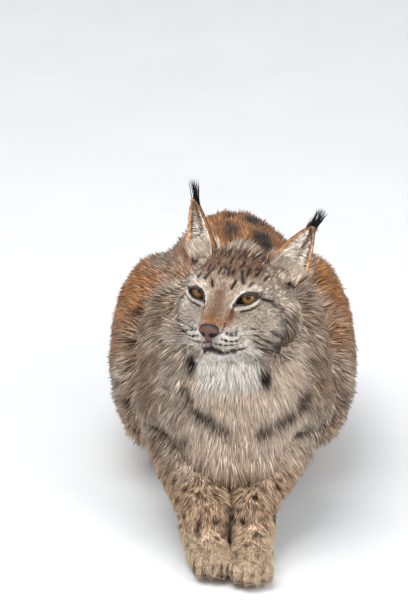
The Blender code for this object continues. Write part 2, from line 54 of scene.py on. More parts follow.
FLOOR_HALF_WIDTH, FLOOR_FRONT, FLOOR_BACK, FLOOR_BEND = 700, -500, 300, 200
LAMPS = (("overhead_lamp", (-0.6, -0.9, 2.6), (0, 0, 0.25), 1.8, 62, (1.0, 0.985, 0.96)),
         ("front_lamp", (2.0, -2.6, 2.2), (0, -0.1, 0.25), 1.6, 50, (1.0, 0.99, 0.97)))
SKY_TINT, SKY_STRENGTH = (0.97, 0.98, 0.99, 1), 0.8


def colour(text):
    """The linear red, green, blue and alpha of an sRGB hex value."""
    parts = [int(text[i:i + 2], 16) / 255 for i in (0, 2, 4)]
    return (*(p / 12.92 if p <= 0.04045 else ((p + 0.055) / 1.055) ** 2.4 for p in parts), 1.0)


def add_node(tree, kind, settings=None, links=None, into=None):
    """Adds a node. Settings name its sockets or properties, and links the outputs that feed its sockets.

    Into holds one of its own outputs and the socket that this one feeds.
    """
    made = tree.nodes.new(kind)
    for name, value in (settings or {}).items():
        if isinstance(name, int) or name in made.inputs:
            made.inputs[name].default_value = value
        else:
            setattr(made, name, value)
    for name, output in (links or {}).items():
        tree.links.new(output, made.inputs[name])
    if into:
        tree.links.new(made.outputs[into[0]], into[1])
    return made


def new_material(name, grain=None, detail=3.0, texture="Noise", **sockets):
    """A Principled material: itself, its tree, its shader and a texture on Object coordinates.

    Grain is how wide the texture's grains are, in millimetres. Sockets are the shader's, with _ for a space.
    """
    made = bpy.data.materials.new(name)
    made.use_nodes = True
    tree = made.node_tree
    shader = tree.nodes["Principled BSDF"]
    for socket, value in sockets.items():
        shader.inputs[socket.replace("_", " ")].default_value = value
    if not grain:
        return made, tree, shader, None
    place = add_node(tree, "ShaderNodeTexCoord")
    grains = add_node(tree, "ShaderNodeTex" + texture, {"Scale": 1000 / grain, "Detail": detail},
                      {"Vector": place.outputs["Object"]})
    return made, tree, shader, grains.outputs[0]


def set_ramp(ramp, *stops):
    """Sets the stops of a colour ramp, each a place from 0 to 1 and a hex value."""
    while len(ramp.elements) < len(stops):
        ramp.elements.new(0.5)
    for element, (place, text) in zip(ramp.elements, stops):
        element.position = place
        element.color = colour(text)


def make_piece(name, points, faces, material):
    """A smooth object at the origin from points in the body's frame and faces of three or four corners.

    The body's frame is in centimetres: x to the animal's left and y backwards from midway between the
    eyes, z up from the floor.
    """
    mesh = bpy.data.meshes.new(name)
    mesh.vertices.add(len(points))
    mesh.vertices.foreach_set("co", (points * CM + BODY_ORIGIN).astype(np.float32).ravel())
    mesh.loops.add(faces.size)
    mesh.loops.foreach_set("vertex_index", faces.astype(np.int32).ravel())
    mesh.polygons.add(len(faces))
    mesh.polygons.foreach_set("loop_start", np.arange(len(faces), dtype=np.int32) * faces.shape[1])
    mesh.update(calc_edges=True)
    mesh.validate()
    mesh.polygons.foreach_set("use_smooth", np.full(len(mesh.polygons), True))
    if material:
        mesh.materials.append(material)
    obj = bpy.data.objects.new(name, mesh)
    bpy.context.scene.collection.objects.link(obj)
    return obj


def vectors(*parts):
    """Places or directions from their coordinates, each a number or an array."""
    return np.stack(np.broadcast_arrays(*parts), axis=-1)


def grid_faces(rows, columns, around=True):
    """The quads of a grid of points, row after row; around joins the last column to the first."""
    across = columns if around else columns - 1
    row, column = np.meshgrid(np.arange(rows - 1), np.arange(across), indexing="ij")
    start, side = row * columns, (column + 1) % columns
    quads = vectors(start + column, start + side, start + columns + side, start + columns + column)
    return quads.reshape(-1, 4)


floor_paint, tree, shader, mottle = new_material("matt_floor_paint", 200, Roughness=0.75)
tone = add_node(tree, "ShaderNodeValToRGB", None, {"Fac": mottle}, ("Color", shader.inputs["Base Color"]))
set_ramp(tone.color_ramp, (0, "dcdfe2"), (1, "e6e8ea"))
bend = np.linspace(0, math.pi / 2, 25)[1:]
sweep = np.concatenate([np.linspace(FLOOR_FRONT, FLOOR_BACK, 9), FLOOR_BACK + FLOOR_BEND * np.sin(bend)])
rise = np.concatenate([np.zeros(9), FLOOR_BEND * (1 - np.cos(bend))])
edges = np.tile((-FLOOR_HALF_WIDTH, FLOOR_HALF_WIDTH), len(sweep))
floor = make_piece("studio_floor", vectors(edges, np.repeat(sweep, 2), np.repeat(rise, 2)),
                   grid_faces(len(sweep), 2, around=False), floor_paint)

for name, place, aim, size, power, tint in LAMPS:
    data = bpy.data.lights.new(name, "AREA")
    data.size = size
    data.energy = power
    data.color = tint
    lamp = bpy.data.objects.new(name, data)
    lamp.location = place
    lamp.rotation_euler = (Vector(aim) - Vector(place)).to_track_quat("-Z", "Y").to_euler()
    bpy.context.scene.collection.objects.link(lamp)
world = bpy.data.worlds.new("even_sky")
world.use_nodes = True
world.node_tree.nodes["Background"].inputs["Color"].default_value = SKY_TINT
world.node_tree.nodes["Background"].inputs["Strength"].default_value = SKY_STRENGTH
bpy.context.scene.world = world
bpy.context.scene.view_settings.view_transform = "Standard"

tip = math.radians(CAMERA_ELEVATION)
looking = Vector((0, math.cos(tip), -math.sin(tip)))
upwards = Vector((0, math.sin(tip), math.cos(tip)))
target = EYE_MIDDLE - Vector((1, 0, 0)) * EYES_RIGHT_OF_AXIS - upwards * EYES_ABOVE_AXIS
lens = bpy.data.cameras.new("camera")
lens.sensor_fit = "VERTICAL"
lens.sensor_height = 24
lens.lens = lens.sensor_height * CAMERA_DISTANCE / VIEW_HEIGHT
lens.clip_end = 50
camera = bpy.data.objects.new("camera", lens)
camera.location = target - looking * CAMERA_DISTANCE
camera.rotation_euler = looking.to_track_quat("-Z", "Y").to_euler()
bpy.context.scene.collection.objects.link(camera)
bpy.context.scene.camera = camera

# Head form. The furred outline of the head is a few balls and tapered limbs that melt into each other;
# the skin lies inside it by the depth of the coat, which is least on the nose, lids and lips. It is in the
# head's own frame, in centimetres from midway between the eyes.
EYE_HEIGHT = EYE_MIDDLE.z / CM
EYE_SPACING, EYE_RADIUS, LID = 6.3, 1.22, 0.1
HEAD_YAW, HEAD_PITCH, HEAD_ROLL = -17.5, -7.0, 4.0
HEAD_MIDDLE = np.array((0, 2.4, -2.2))
HEAD_REACH, RAY_STEP = 14.0, 0.3


def turned(angles, axes="XYZ"):
    """The matrix of turns by degrees about one axis after another."""
    spin = Matrix.Identity(3)
    for axis, angle in zip(axes, angles):
        spin = Matrix.Rotation(math.radians(angle), 3, axis) @ spin
    return np.array(spin)


HEAD_TURN = turned((HEAD_ROLL, HEAD_YAW, HEAD_PITCH), "YZX")


def from_head(points):
    """From the head's frame to the body's."""
    return points @ HEAD_TURN.T + (0, 0, EYE_HEIGHT)


def to_head(points):
    """From the body's frame to the head's."""
    return (points - (0, 0, EYE_HEIGHT)) @ HEAD_TURN


def unit(directions):
    """The directions, each with a length of one."""
    return directions / np.maximum(np.linalg.norm(directions, axis=-1, keepdims=True), 1e-9)


def folded(points):
    """The places with the right side laid over the left: x without its sign."""
    return np.concatenate([abs(points[..., :1]), points[..., 1:]], axis=-1)


def step_up(value, low, high):
    """0 below low, 1 above high, smooth in between."""
    share = np.clip((value - low) / (high - low), 0, 1)
    return share * share * (3 - 2 * share)


def ball_distance(points, centre, radii):
    """About how far points lie outside an ellipsoid: the stretch from its skin over the stretch's slope."""
    near = (points - np.array(centre)) / np.array(radii)
    size = np.linalg.norm(near, axis=-1)
    slope = np.linalg.norm(near / np.array(radii), axis=-1)
    return size * (size - 1) / np.maximum(slope, 1e-6)


def limb_distance(points, start, start_radius, end, end_radius):
    """How far points lie outside a limb whose radius changes evenly along it."""
    start, along = np.array(start, float), np.array(end, float) - np.array(start, float)
    share = np.clip((points - start) @ along / (along @ along), 0, 1)
    reach = np.linalg.norm(points - start - share[..., None] * along, axis=-1)
    return reach - start_radius - share * (end_radius - start_radius)


def melted(blend, forms):
    """The distance to forms that melt into each other: exp(-distance / blend) sums to one at the skin."""
    return -blend * np.log(sum(np.exp(-form / blend) for form in forms))


def head_distance(points):
    """How far points lie outside the furred head, which is alike on both sides: skull, then face and ears."""
    points = folded(points)
    eye = EYE_SPACING / 2
    skull = melted(0.9, [
        ball_distance(points, (0, 5.6, 0.2), (5.2, 5.6, 4.3)),
        ball_distance(points, (0, 2.6, 0.7), (4.3, 3.1, 2.7)),
        ball_distance(points, (0, 3.2, -1.8), (5.2, 3.6, 3.6)),
        ball_distance(points, (4.3, 5.0, -3.9), (2.8, 3.6, 3.4)),
        ball_distance(points, (4.3, 7.6, -2.6), (2.8, 3.0, 3.4)),
        ball_distance(points, (0, 4.8, -5.2), (4.4, 3.9, 2.8)),
        limb_distance(points, (0, 1.2, -3.5), 3.0, (0, -1.7, -4.0), 1.9),
    ])
    return melted(0.4, [
        skull,
        ball_distance(points, (4.2, 7.3, 1.2), (2.3, 1.6, 1.5)),
        limb_distance(points, (0, 0.6, 0.1), 1.7, (0, -3.8, -2.9), 1.0),
        limb_distance(points, (1.0, 0.4, -0.1), 1.1, (0.6, -3.7, -2.8), 0.75),
        ball_distance(points, (1.6, -2.8, -4.25), (1.65, 2.0, 1.3)),
        limb_distance(points, (0, 1.6, -5.7), 2.6, (0, -1.9, -6.1), 1.35),
        ball_distance(points, (eye - 0.4, 0.6, 1.25), (1.9, 1.2, 0.7)),
        ball_distance(points, (eye + 0.2, 0.9, -1.7), (1.7, 1.3, 0.8)),
        ball_distance(points, (eye, 0, 0), [EYE_RADIUS + LID] * 3),
    ])


def chart_of(points):
    """A flat chart of the head: degrees from the face's axis, split into sideways and up."""
    away = points - HEAD_MIDDLE
    off = np.hypot(away[..., 0], away[..., 2])
    angle = np.degrees(np.arctan2(off, -away[..., 1])) / np.maximum(off, 1e-6)
    return angle * away[..., 0], angle * away[..., 2]


def near_line(a, b, line, width):
    """1 on a line drawn on a chart, falling as exp(-(gap / width)^2) beside it."""
    best = np.full(np.shape(a), 1e9)
    for (ax, ay), (bx, by) in zip(line, line[1:]):
        dx, dy = bx - ax, by - ay
        share = np.clip(((a - ax) * dx + (b - ay) * dy) / max(dx * dx + dy * dy, 1e-9), 0, 1)
        best = np.minimum(best, np.hypot(a - ax - share * dx, b - ay - share * dy))
    return np.exp(-(best / width) ** 2)


def near_spot(a, b, place, width, height):
    """1 at a place on a chart, falling likewise across an oval."""
    return np.exp(-((a - place[0]) / width) ** 2 - ((b - place[1]) / height) ** 2)


EYE_PLACE = (38.5, 27.5)
MOUTH_LINE = ((0, -30.0), (7, -31.5), (16, -42.5), (27, -55.0), (38, -59.0), (46, -55.6))


def head_coat_depth(points):
    """How deep the coat is on the head: more towards the nape and on the cheeks, least on eyes and mouth."""
    a, b = chart_of(points)
    side, angle = abs(a), np.hypot(a, b)
    depth = 0.22 + 0.8 * np.clip((angle - 45) / 60, 0, 1) + 0.25 * near_spot(side, b, (75, -25), 25, 30)
    thin = np.maximum(near_spot(side, b, EYE_PLACE, 17, 12), near_spot(side, b, (0, 5), 16, 20))
    thin = np.maximum(thin, near_line(side, b, MOUTH_LINE, 8))
    return depth * (1 - 0.75 * thin)


def on_head(rays, sink):
    """Where rays from the middle of the head leave the form for good, sunk under it by a depth."""
    rays = unit(rays)
    inside = np.zeros(len(rays), bool)
    far = np.full(len(rays), 0.5)
    for distance in np.arange(HEAD_REACH, 0.5, -RAY_STEP):
        new = ~inside & (head_distance(HEAD_MIDDLE + rays * distance) + sink < 0)
        far[new] = distance + RAY_STEP
        inside |= new
    near = far - RAY_STEP
    for _ in range(9):
        half = (near + far) / 2
        out = head_distance(HEAD_MIDDLE + rays * half[:, None]) + sink > 0
        far, near = np.where(out, half, far), np.where(out, near, half)
    return HEAD_MIDDLE + rays * near[:, None]


def outward_of(points):
    """The direction straight out of the head form, from how its distance grows."""
    return unit(vectors(*(head_distance(points + move) - head_distance(points - move)
                          for move in np.eye(3) * 0.05)))


EYE_SLANT = 24.0
EYE_HALF = {1: 1.46, -1: 1.24}
INNER_CORNER = (-1.35, -0.54)
UPPER_LID, LOWER_LID = 0.8, 0.4


def lid_heights(share):
    """Upper and lower lid over the line through the corners: arches on a share from -1, the inner, to 1."""
    arch = 1 - np.clip(abs(share), 0, 1) ** 2.2
    return UPPER_LID * arch, -LOWER_LID * arch * step_up(share, -1.5, 0.2)


def eye_gap(points, side):
    """How far places in the head's frame lie outside the opening of an eye, seen from straight in front."""
    slant, half = math.radians(EYE_SLANT), EYE_HALF[side]
    x, z = side * points[:, 0] - EYE_SPACING / 2 - INNER_CORNER[0], points[:, 2] - INNER_CORNER[1]
    share = (x * math.cos(slant) + z * math.sin(slant)) / half - 1
    above = z * math.cos(slant) - x * math.sin(slant)
    upper, lower = lid_heights(share)
    gap = np.maximum(np.maximum(above - upper, lower - above), (abs(share) - 1) * half)
    return np.where(points[:, 1] < 0.8, gap, 9.0)


# Markings. One set of functions gives the colour of the coat anywhere on the animal, so skin and hair
# carry the same pattern: grey-brown, rust on the hinder back and the haunches, dark spots, a pale chest
# with a broken dark collar, a white chin, and the lines, bands and whisker rows of the face. The dark
# lines in the clefts between the front toes are painted shade.
PAINT = {name: np.array(colour(text)[:3]) for name, text in {
    "grey": "9d8875", "grey_pale": "d9cbbc", "undercoat": "5f4d3e", "brown": "835c3a", "rust": "b87f48",
    "rust_deep": "864f24", "spot": "3a1f0f", "dark": "23130a", "black": "0c0705", "chest": "f8e4d0",
    "cream": "f6ece0", "white": "faf3ea", "tan": "c8a888", "paw": "ead2b6", "orange": "a4652f",
    "bridge_grey": "7b5a40",
}.items()}
BODY_X = 1.3
lattice = np.random.default_rng(3).random((32, 32, 32))


def noise(points, size):
    """A smooth random field from 0 to 1: seeded numbers at the corners of cubes, blended in between."""
    place = points / size + 100.0
    low = np.floor(place).astype(int)
    part = place - low
    part = part * part * (3 - 2 * part)
    total = 0
    for corner in np.ndindex(2, 2, 2):
        weight = np.prod(abs(1 - np.array(corner) - part), axis=-1)
        total = total + weight * lattice[tuple(np.moveaxis((low + corner) % 32, -1, 0))]
    return total


def painted(base, *layers):
    """The base colours mixed with one paint after another, each by its amount from 0 to 1."""
    for paint, amount in layers:
        amount = np.clip(amount, 0, 1)[..., None]
        base = base * (1 - amount) + PAINT[paint] * amount
    return base


def spots(points, size, radius):
    """1 inside round spots and 0 outside: one spot at a random place in each cube of a lattice."""
    place = points / size + 100.0
    cell = np.floor(place).astype(int)
    best = np.full(len(points), 9.0)
    for step in np.ndindex(3, 3, 3):
        near = cell + step - 1
        i, j, k = (near % 32).T
        centre = near + 0.1 + 0.8 * vectors(lattice[i, j, k], lattice[j, k, i], lattice[k, i, j])
        best = np.minimum(best, np.linalg.norm(place - centre, axis=1))
    return 1 - step_up(best * size, radius * 0.7, radius)


FRONT_TILT = 0.364
COLLAR = (((8.8, 21.5), (7.4, 19.7), (6.2, 18.5), (4.6, 17.5), (2.9, 16.7)),
          ((-6.0, 22.2), (-5.1, 20.4), (-3.6, 18.9), (-2.2, 17.7), (-1.2, 17.1)))
BACK_MARKS = ((0.0, 35.4, 0.8), (2.5, 45.8, 1.1), (3.6, 34.4, 1.0), (4.0, 31.6, 1.0))
THROAT_PATCHES = ((-5.2, 25.4), (3.7, 23.8))
PAWS = ((-0.2, -4.2, -3), (-3.0, -2.2, -16))
TOE_WIDTH, TOE_SHADE_WIDTH = 1.26, 0.13


def body_colour(points):
    """The coat's colour on trunk, neck, legs and tail, from places in the body's frame.

    The collar and bib are bands on x and on seen = z + 0.364 y, so they run square to the slope of the chest.
    """
    x, y, z = points[:, 0] - BODY_X, points[:, 1], points[:, 2]
    seen = z + FRONT_TILT * y
    wander = noise(points + 40, 3.2) - 0.5
    back = step_up(z, 22, 27) * step_up(y + 7 * wander, 22, 33)
    back = back * step_up(9.5 + 5 * wander - abs(x - 1), -1, 5)
    haunch = step_up(z, 13, 21) * step_up(abs(x) + 3 * wander, 7.5, 12) * step_up(y + 6 * wander, 22, 31)
    rusty = np.maximum(back, haunch)
    front = step_up(10.5 - y + 0.04 * (26 - z), 0, 5)
    pale = front * step_up(8.8 - abs(x - 1.3), 0, 3)
    leg = step_up(12 - z, 0, 3) * step_up(13 - y, 0, 3)
    paw = step_up(6.5 - z, 0, 3.5) * step_up(6 - y, 0, 4)
    foot = step_up(6.5 - z, 0, 2) * step_up(y, 26, 30) * step_up(52 - y, 0, 5)
    dorsal = np.exp(-((abs(x - 1.2) - 1.6) / 0.75) ** 2) * step_up(z, 22, 25) * step_up(y, 16, 22)
    open_coat = (1 - pale) * (1 - leg)
    shade = painted(
        np.tile(PAINT["grey"], (len(points), 1)),
        ("grey_pale", 0.5 * step_up(noise(points, 3.5), 0.4, 0.8)),
        ("rust", 0.95 * rusty),
        ("rust_deep", 0.6 * rusty * step_up(noise(points + 9, 1.8), 0.45, 0.75)),
        ("tan", 0.5 * step_up(y, 22, 30) * step_up(14 - z, 0, 8)),
        ("chest", pale),
        ("brown", 0.5 * pale * step_up(noise(points * (2, 1, 1) + 20, 0.55), 0.58, 0.75)),
        ("grey_pale", 0.45 * front * (1 - pale) * step_up(10.2 - abs(x), 0, 2)),
        ("brown", 0.25 * step_up(15 - y, 0, 4) * step_up(abs(x), 9.6, 11)),
        ("chest", step_up(9 - z, 0, 4) * step_up(y, 10, 16) * step_up(12 - abs(x), 0, 5)),
        ("tan", 0.8 * leg),
        ("paw", paw),
        ("paw", 0.8 * foot),
        ("spot", 0.85 * dorsal * step_up(noise(points + 3, 1.7), 0.42, 0.55)),
        ("spot", 1.15 * spots(points, 3.1, 0.8) * open_coat * step_up(y, 6, 10) * (1 - 0.75 * foot)),
        ("spot", 0.95 * spots(points + 11, 1.9, 0.5) * open_coat * front),
        ("spot", 1.1 * spots(points + 5, 1.3, 0.5) * leg * (1 - 0.6 * paw)))
    # Painted shade: a dark line in each cleft between the toes of the front paws, where the toes meet.
    for toe_x, toe_y, yaw in PAWS:
        off_x, off_y, yaw = x - toe_x, y - toe_y, math.radians(yaw)
        across = abs(off_x * math.cos(yaw) + off_y * math.sin(yaw))
        cleft_shade = np.exp(-((abs(across - TOE_WIDTH / 2) - TOE_WIDTH / 2) / TOE_SHADE_WIDTH) ** 2) * (across < 1.6)
        near = step_up(3.2 - z, 0, 1) * step_up(1.2 - off_y, 0, 1) * (np.hypot(off_x, off_y) < 3.2)
        shade = painted(shade, ("spot", 0.75 * cleft_shade * near))
    broken = step_up(13 - y, 0, 3) * step_up(noise(points + 7, 1.2), 0.1, 0.3)
    return painted(
        shade,
        *(("spot", 2.2 * near_line(x, seen, line, 0.5) * broken) for line in COLLAR),
        ("dark", 1.2 * near_spot(x, seen, (-3.7, 18.8), 0.9, 0.6) * front),
        ("spot", near_spot(x, seen, (-5.9, 15.7), 0.8, 0.6) * front),
        *(("dark", 1.4 * near_spot(x, y, mark, size, 2.4 * size) * step_up(z, 22, 25))
          for *mark, size in BACK_MARKS),
        ("black", step_up(x, 6.2, 8.2) * step_up(y, 56, 58)))


def bib_colour(shade, points):
    """Adds the white bib under the chin and the black patch at each of its lower corners."""
    x, y = points[:, 0] - BODY_X, points[:, 1]
    seen = points[:, 2] + FRONT_TILT * y
    half = 3.75 + 0.2 * (seen - 23.3)
    bib = step_up(seen, 21.4, 22.9) * step_up(27.3 - seen, 0, 0.5) * step_up(half - abs(x + 0.7), -0.5, 0.5)
    return painted(shade, ("white", bib * (y < 8)),
                   *(("black", 2 * near_spot(x, seen, place, 0.62, 1.1) * (y < 9))
                     for place in THROAT_PATCHES))


FOREHEAD_LINES = (
    ((36, 99), (33, 108), (30, 118)), ((10, 97), (15, 112)), ((2, 108), (0, 122)), ((21, 100), (12, 122)),
    ((5, 64), (2, 72), (4, 77), (10, 74), (11, 66)), ((19, 55), (15, 45)), ((24, 73), (27, 63), (30, 52)),
    ((39, 47), (45, 58)), ((20, 80), (24, 92)), ((33, 66), (36, 80)), ((66, 66), (72, 76), (84, 76)),
    ((50, 70), (54, 84)), ((0, 84), (0, 95)),
)
EYE_LINE = ((54, 34), (72, 33.5), (91, 28.5), (98, 17))
CHEEK_BAND = ((114, 5), (112, -18), (105, -38), (94, -53), (82, -67), (67, -77))
CHEEK_MARKS = (((63, -27), (76, -33)), ((66, -42), (79, -52)), ((62, -56), (72, -62)), ((84, -30), (92, -40)))
WHISKER_ROWS = (((16, -9.6), (30, -13.6)), ((12, -13.6), (33, -19.5)),
                ((5, -21.5), (11, -19.3), (20, -19.2), (28, -23)))
WHISKER_SPOTS = ((13.8, -1.0), (13.7, -3.8), (12.1, -5.6))
WHISKER_GAP = 5.2


def head_colour(points):
    """The coat's colour on the head, from places in the head's frame, as lines and ovals on its chart."""
    a, b = chart_of(points)
    side = abs(a)
    fine = noise(points + 60, 0.5)
    broken, stronger_left = step_up(fine, 0.1, 0.3), 0.4 + 0.6 * (a > 0)

    def line(width, *places):
        """How near the places are to a line on both sides of the face."""
        return near_line(side, b, places, width)

    def oval(place, width, height):
        """How near the places are to the middle of an oval on both sides of the face."""
        return near_spot(side, b, place, width, height)

    crown = step_up(b, 46, 80) * step_up(75 - side, 0, 25)
    dashes = 0.45 + 0.55 * step_up(np.cos(side * 2 * math.pi / WHISKER_GAP), -0.7, 0.2)
    lips = 1.4 * line(3.0, *MOUTH_LINE) * step_up(44 - side, 0, 8)
    return painted(
        np.tile(PAINT["grey"], (len(points), 1)),
        ("grey_pale", 0.35 + 0.3 * step_up(noise(points + 30, 0.9), 0.35, 0.65)),
        ("grey_pale", 0.7 * oval((64, -8), 28, 26)),
        ("cream", 0.5 * near_spot(a, b, (-68, 0), 24, 34)),
        ("brown", 0.8 * crown),
        ("rust_deep", 0.4 * crown * step_up(fine, 0.45, 0.7)),
        ("spot", 0.7 * crown * step_up(noise(points * (1.6, 1, 1) + 80, 0.6), 0.62, 0.7)),
        *(("dark", 1.5 * line(2.3, *places) * broken) for places in FOREHEAD_LINES),
        ("orange", 0.85 * line(7, (25, 16), (20, 7), (15, -1), (10, -6))),
        ("rust_deep", line(3.6, (23, 18), (20, 3))),
        ("bridge_grey", 0.95 * line(13, (0, 2), (0, 22), (0, 36))),
        ("orange", 0.8 * oval((0, 0), 12, 5)),
        ("white", 1.1 * line(8, (11, -13), (30, -19), (36, -30))),
        ("dark", 0.9 * line(1.2, (7, -10.4), (12, -7.8))),
        *(("black", 1.1 * oval(place, 1.1, 1.1)) for place in WHISKER_SPOTS),
        *(("black", 1.3 * line(1.25, *row) * dashes) for row in WHISKER_ROWS),
        ("white", 1.3 * np.maximum(line(14, (0, -50), (20, -66), (45, -66)), oval((20, -90), 42, 24))),
        ("black", np.maximum(lips, 0.6 * line(1.2, (0, -19), (0, -29)))),
        ("rust", 0.6 * oval((42, -60), 6, 4)),
        ("white", 1.15 * np.maximum(line(2.3, (26, 15.5), (39.6, 18), (52.5, 27.5)),
                                    line(2.6, (20, 19), (24.5, 30), (32, 39)))),
        ("cream", 0.6 * line(3.2, (34, 42), (44, 46), (56, 44))),
        ("dark", 1.2 * line(1.8, (36, 12), (47, 15), (60, 25))),
        ("dark", 1.6 * line(2.4, *EYE_LINE) * step_up(side, 50, 54)),
        ("dark", 0.9 * line(1.5, (23, 18), (20, 10))),
        *(("black", 1.2 * (1 - step_up(eye_gap(points, mirror), 0.1, 0.22))) for mirror in (1, -1)),
        ("spot", 0.95 * line(9, *CHEEK_BAND) * stronger_left * step_up(fine, 0.05, 0.35)),
        *(("dark", (0.4 + 0.55 * (a > 0)) * line(2.8, *mark) * step_up(fine, 0.1, 0.35))
          for mark in CHEEK_MARKS))


# Skin. The hide under the coat, as one closed form from nose to tail. The trunk and limbs are balls and
# tapered limbs fused and smoothed; the head is drawn by rays, with its sockets and the groove of its
# mouth, and joined to them at the neck.
HEAD_TURNS, HEAD_RINGS = 300, 150
TRUNK_GRAIN, LEG_GRAIN = 0.62, 0.34
BACK_HEIGHT, TRUNK_LENGTH, TAIL_LENGTH = 31.0, 58.0, 17.0
TRUNK_HALF_WIDTH, HIP_HALF_WIDTH = 12.2, 15.6
TOES = ((-1.5, 0.0), (-0.52, 0.8), (0.52, 0.8), (1.5, 0.0))
BODY_DEPTH, LEG_DEPTH, PAW_DEPTH, SOLE_HEIGHT = 0.95, 0.5, 0.26, 0.12


def ball(centre, radii, turn=(0, 0, 0), rings=24, turns=32):
    """An ellipsoid as rings round its own z axis, turned about x, y and z in degrees."""
    tilt, around = np.meshgrid(np.linspace(0.001, math.pi - 0.001, rings),
                               np.linspace(0, 2 * math.pi, turns, endpoint=False), indexing="ij")
    shape = vectors(np.sin(tilt) * np.cos(around), np.sin(tilt) * np.sin(around), np.cos(tilt))
    return (shape.reshape(-1, 3) * radii) @ turned(turn).T + centre, grid_faces(rings, turns)[:, ::-1]


def limb(start, start_radius, end, end_radius, turns=24):
    """A tapered limb with round ends: half circles at both ends carried round the line between them."""
    start, end = np.array(start, float), np.array(end, float)
    length = np.linalg.norm(end - start)
    along = (end - start) / length
    side = unit(np.cross(along, (0.3, 0.9, 0.2)))
    bow = np.linspace(0.001, math.pi / 2, 9)
    reach = np.concatenate([start_radius * np.sin(bow), end_radius * np.sin(bow[::-1])])
    place = np.concatenate([-start_radius * np.cos(bow), length + end_radius * np.cos(bow[::-1])])
    around = np.linspace(0, 2 * math.pi, turns, endpoint=False)
    ring = np.cos(around)[:, None] * side + np.sin(around)[:, None] * np.cross(along, side)
    points = start + place[:, None, None] * along + reach[:, None, None] * ring
    return points.reshape(-1, 3), grid_faces(len(reach), turns)[:, ::-1]


def joined(parts):
    """Several sets of points and faces as one."""
    starts = np.cumsum([0] + [len(points) for points, _ in parts[:-1]])
    return (np.concatenate([points for points, _ in parts]),
            np.concatenate([faces + start for (_, faces), start in zip(parts, starts)]))


def on_body(side, out, back, up):
    """A place so far out to one side of the body's middle."""
    return (BODY_X + side * out, back, up)


middle = BACK_HEIGHT - 12.2
rump = TRUNK_LENGTH - 10.5
tail_root = np.array((BODY_X, TRUNK_LENGTH - 5, 14.5))
tail_bend = np.array((BODY_X + 1.2, TRUNK_LENGTH + 1.0, 6.4))
tail_rest = np.array((BODY_X + 4.4, TRUNK_LENGTH + 3.2, 3.5))
tail_tip = tail_rest + np.array((0.9, 0.3, -0.03)) * (TAIL_LENGTH - 11)
forms = [
    ball((BODY_X, 17, middle + 0.6), (TRUNK_HALF_WIDTH - 1.0, 14, 12.3), (-4, 0, 0)),
    ball((BODY_X, 32, middle), (TRUNK_HALF_WIDTH - 0.6, 16, 12.2)),
    ball((BODY_X, rump, middle - 2.2), (TRUNK_HALF_WIDTH - 2.4, 10.5, 11.0), (10, 0, 0)),
    limb((BODY_X, 17, BACK_HEIGHT - 8.0), 7.6, (BODY_X, 32, BACK_HEIGHT - 7.4), 7.4),
    limb((BODY_X, 32, BACK_HEIGHT - 7.4), 7.4, (BODY_X, rump, BACK_HEIGHT - 10.2), 7.6),
    limb((0.7, 8.3, EYE_HEIGHT - 5.5), 6.9, (BODY_X, 16, 23.5), 9.4),
    ball((1.0, 7.4, 20.2), (8.7, 5.9, 11.0), (-8, 0, 0)),
    limb(tail_root, 4.0, tail_bend, 3.6),
    limb(tail_bend, 3.6, tail_rest, 3.4),
    limb(tail_rest, 3.4, tail_tip, 3.2),
]
for side in (1, -1):
    forms += [
        ball(on_body(side, 6.8, 13.5, 21.5), (4.9, 7.6, 9.8), (-14, 0, 0)),
        limb(on_body(side, 7.6, 9.5, 19), 4.4, on_body(side, 8.2, 15.5, 14.6), 3.8),
        ball(on_body(side, HIP_HALF_WIDTH - 5.3, 36, 16.5), (4.9, 12.6, 10.2), (-20, side * -8, 0)),
        ball(on_body(side, HIP_HALF_WIDTH - 4.4, 29.5, 14.6), (4.1, 7.4, 9.4), (12, 0, 0)),
        ball(on_body(side, 8.6, 46, 12.5), (4.8, 9.6, 9.6), (16, 0, 0)),
        limb(on_body(side, 9.6, 30, 8.4), 4.6, on_body(side, 7.6, 49, 7.4), 4.2),
    ]


def foreleg_forms(side):
    """Forearm, wrist and paw with four toes. The right paw is turned in and set behind the left."""
    wrist = np.array((3.3, 3.4, 6.8) if side > 0 else (-2.2, 2.8, 6.8))
    toes = np.array((3.3, -4.2, 1.9) if side > 0 else (-1.3, -2.2, 1.9))
    yaw, thick = (-3, 3.0) if side > 0 else (16, 3.3)
    along = np.array((math.sin(math.radians(yaw)), -math.cos(math.radians(yaw)), 0))
    across = np.array((-along[1], along[0], 0))
    parts = [limb(on_body(side, 8.0, 15.5, 15), 4.2, wrist, thick),
             limb(wrist, thick, wrist + (0, -1.4, -3.6), 2.8),
             ball((wrist + (0, -1.2, -4.2) + toes) / 2, (2.7, 4.4, 2.6), (0, 0, yaw)),
             limb(wrist + (0, -0.9, -2.3), 2.5, toes + (0, 0, 0.9) - along * 0.4, 1.6)]
    for place, reach in TOES:
        middle = toes + across * place * TOE_WIDTH + along * (reach + 0.75)
        parts.append(ball(middle, (0.76, 1.7, 1.5), (0, 0, yaw)))
    return parts


def hindfoot_forms(side):
    """Hock, metatarsus and toes, flat on the floor."""
    parts = [limb(on_body(side, 7.0, 51.5, 4.2), 3.5, on_body(side, 6.2, 38, 3.0), 2.9),
             ball(on_body(side, 6.0, 35.5, 2.5), (3.0, 4.8, 2.8))]
    for place, reach in TOES:
        parts.append(ball(on_body(side, 6.0 + place * 1.4, 32.2 - reach, 1.8), (0.85, 1.9, 1.5)))
    return parts


def settle(obj):
    """Applies the object's modifiers."""
    graph = bpy.context.evaluated_depsgraph_get()
    mesh = bpy.data.meshes.new_from_object(obj.evaluated_get(graph))
    obj.modifiers.clear()
    obj.data = mesh


def mesh_arrays(obj):
    """The object's points in the body's frame, and the way out of the skin at each."""
    points, normals = np.empty((2, len(obj.data.vertices) * 3), np.float32)
    obj.data.vertices.foreach_get("co", points)
    obj.data.vertex_normals.foreach_get("vector", normals)
    return (points.reshape(-1, 3).astype(float) - BODY_ORIGIN) / CM, normals.reshape(-1, 3).astype(float)


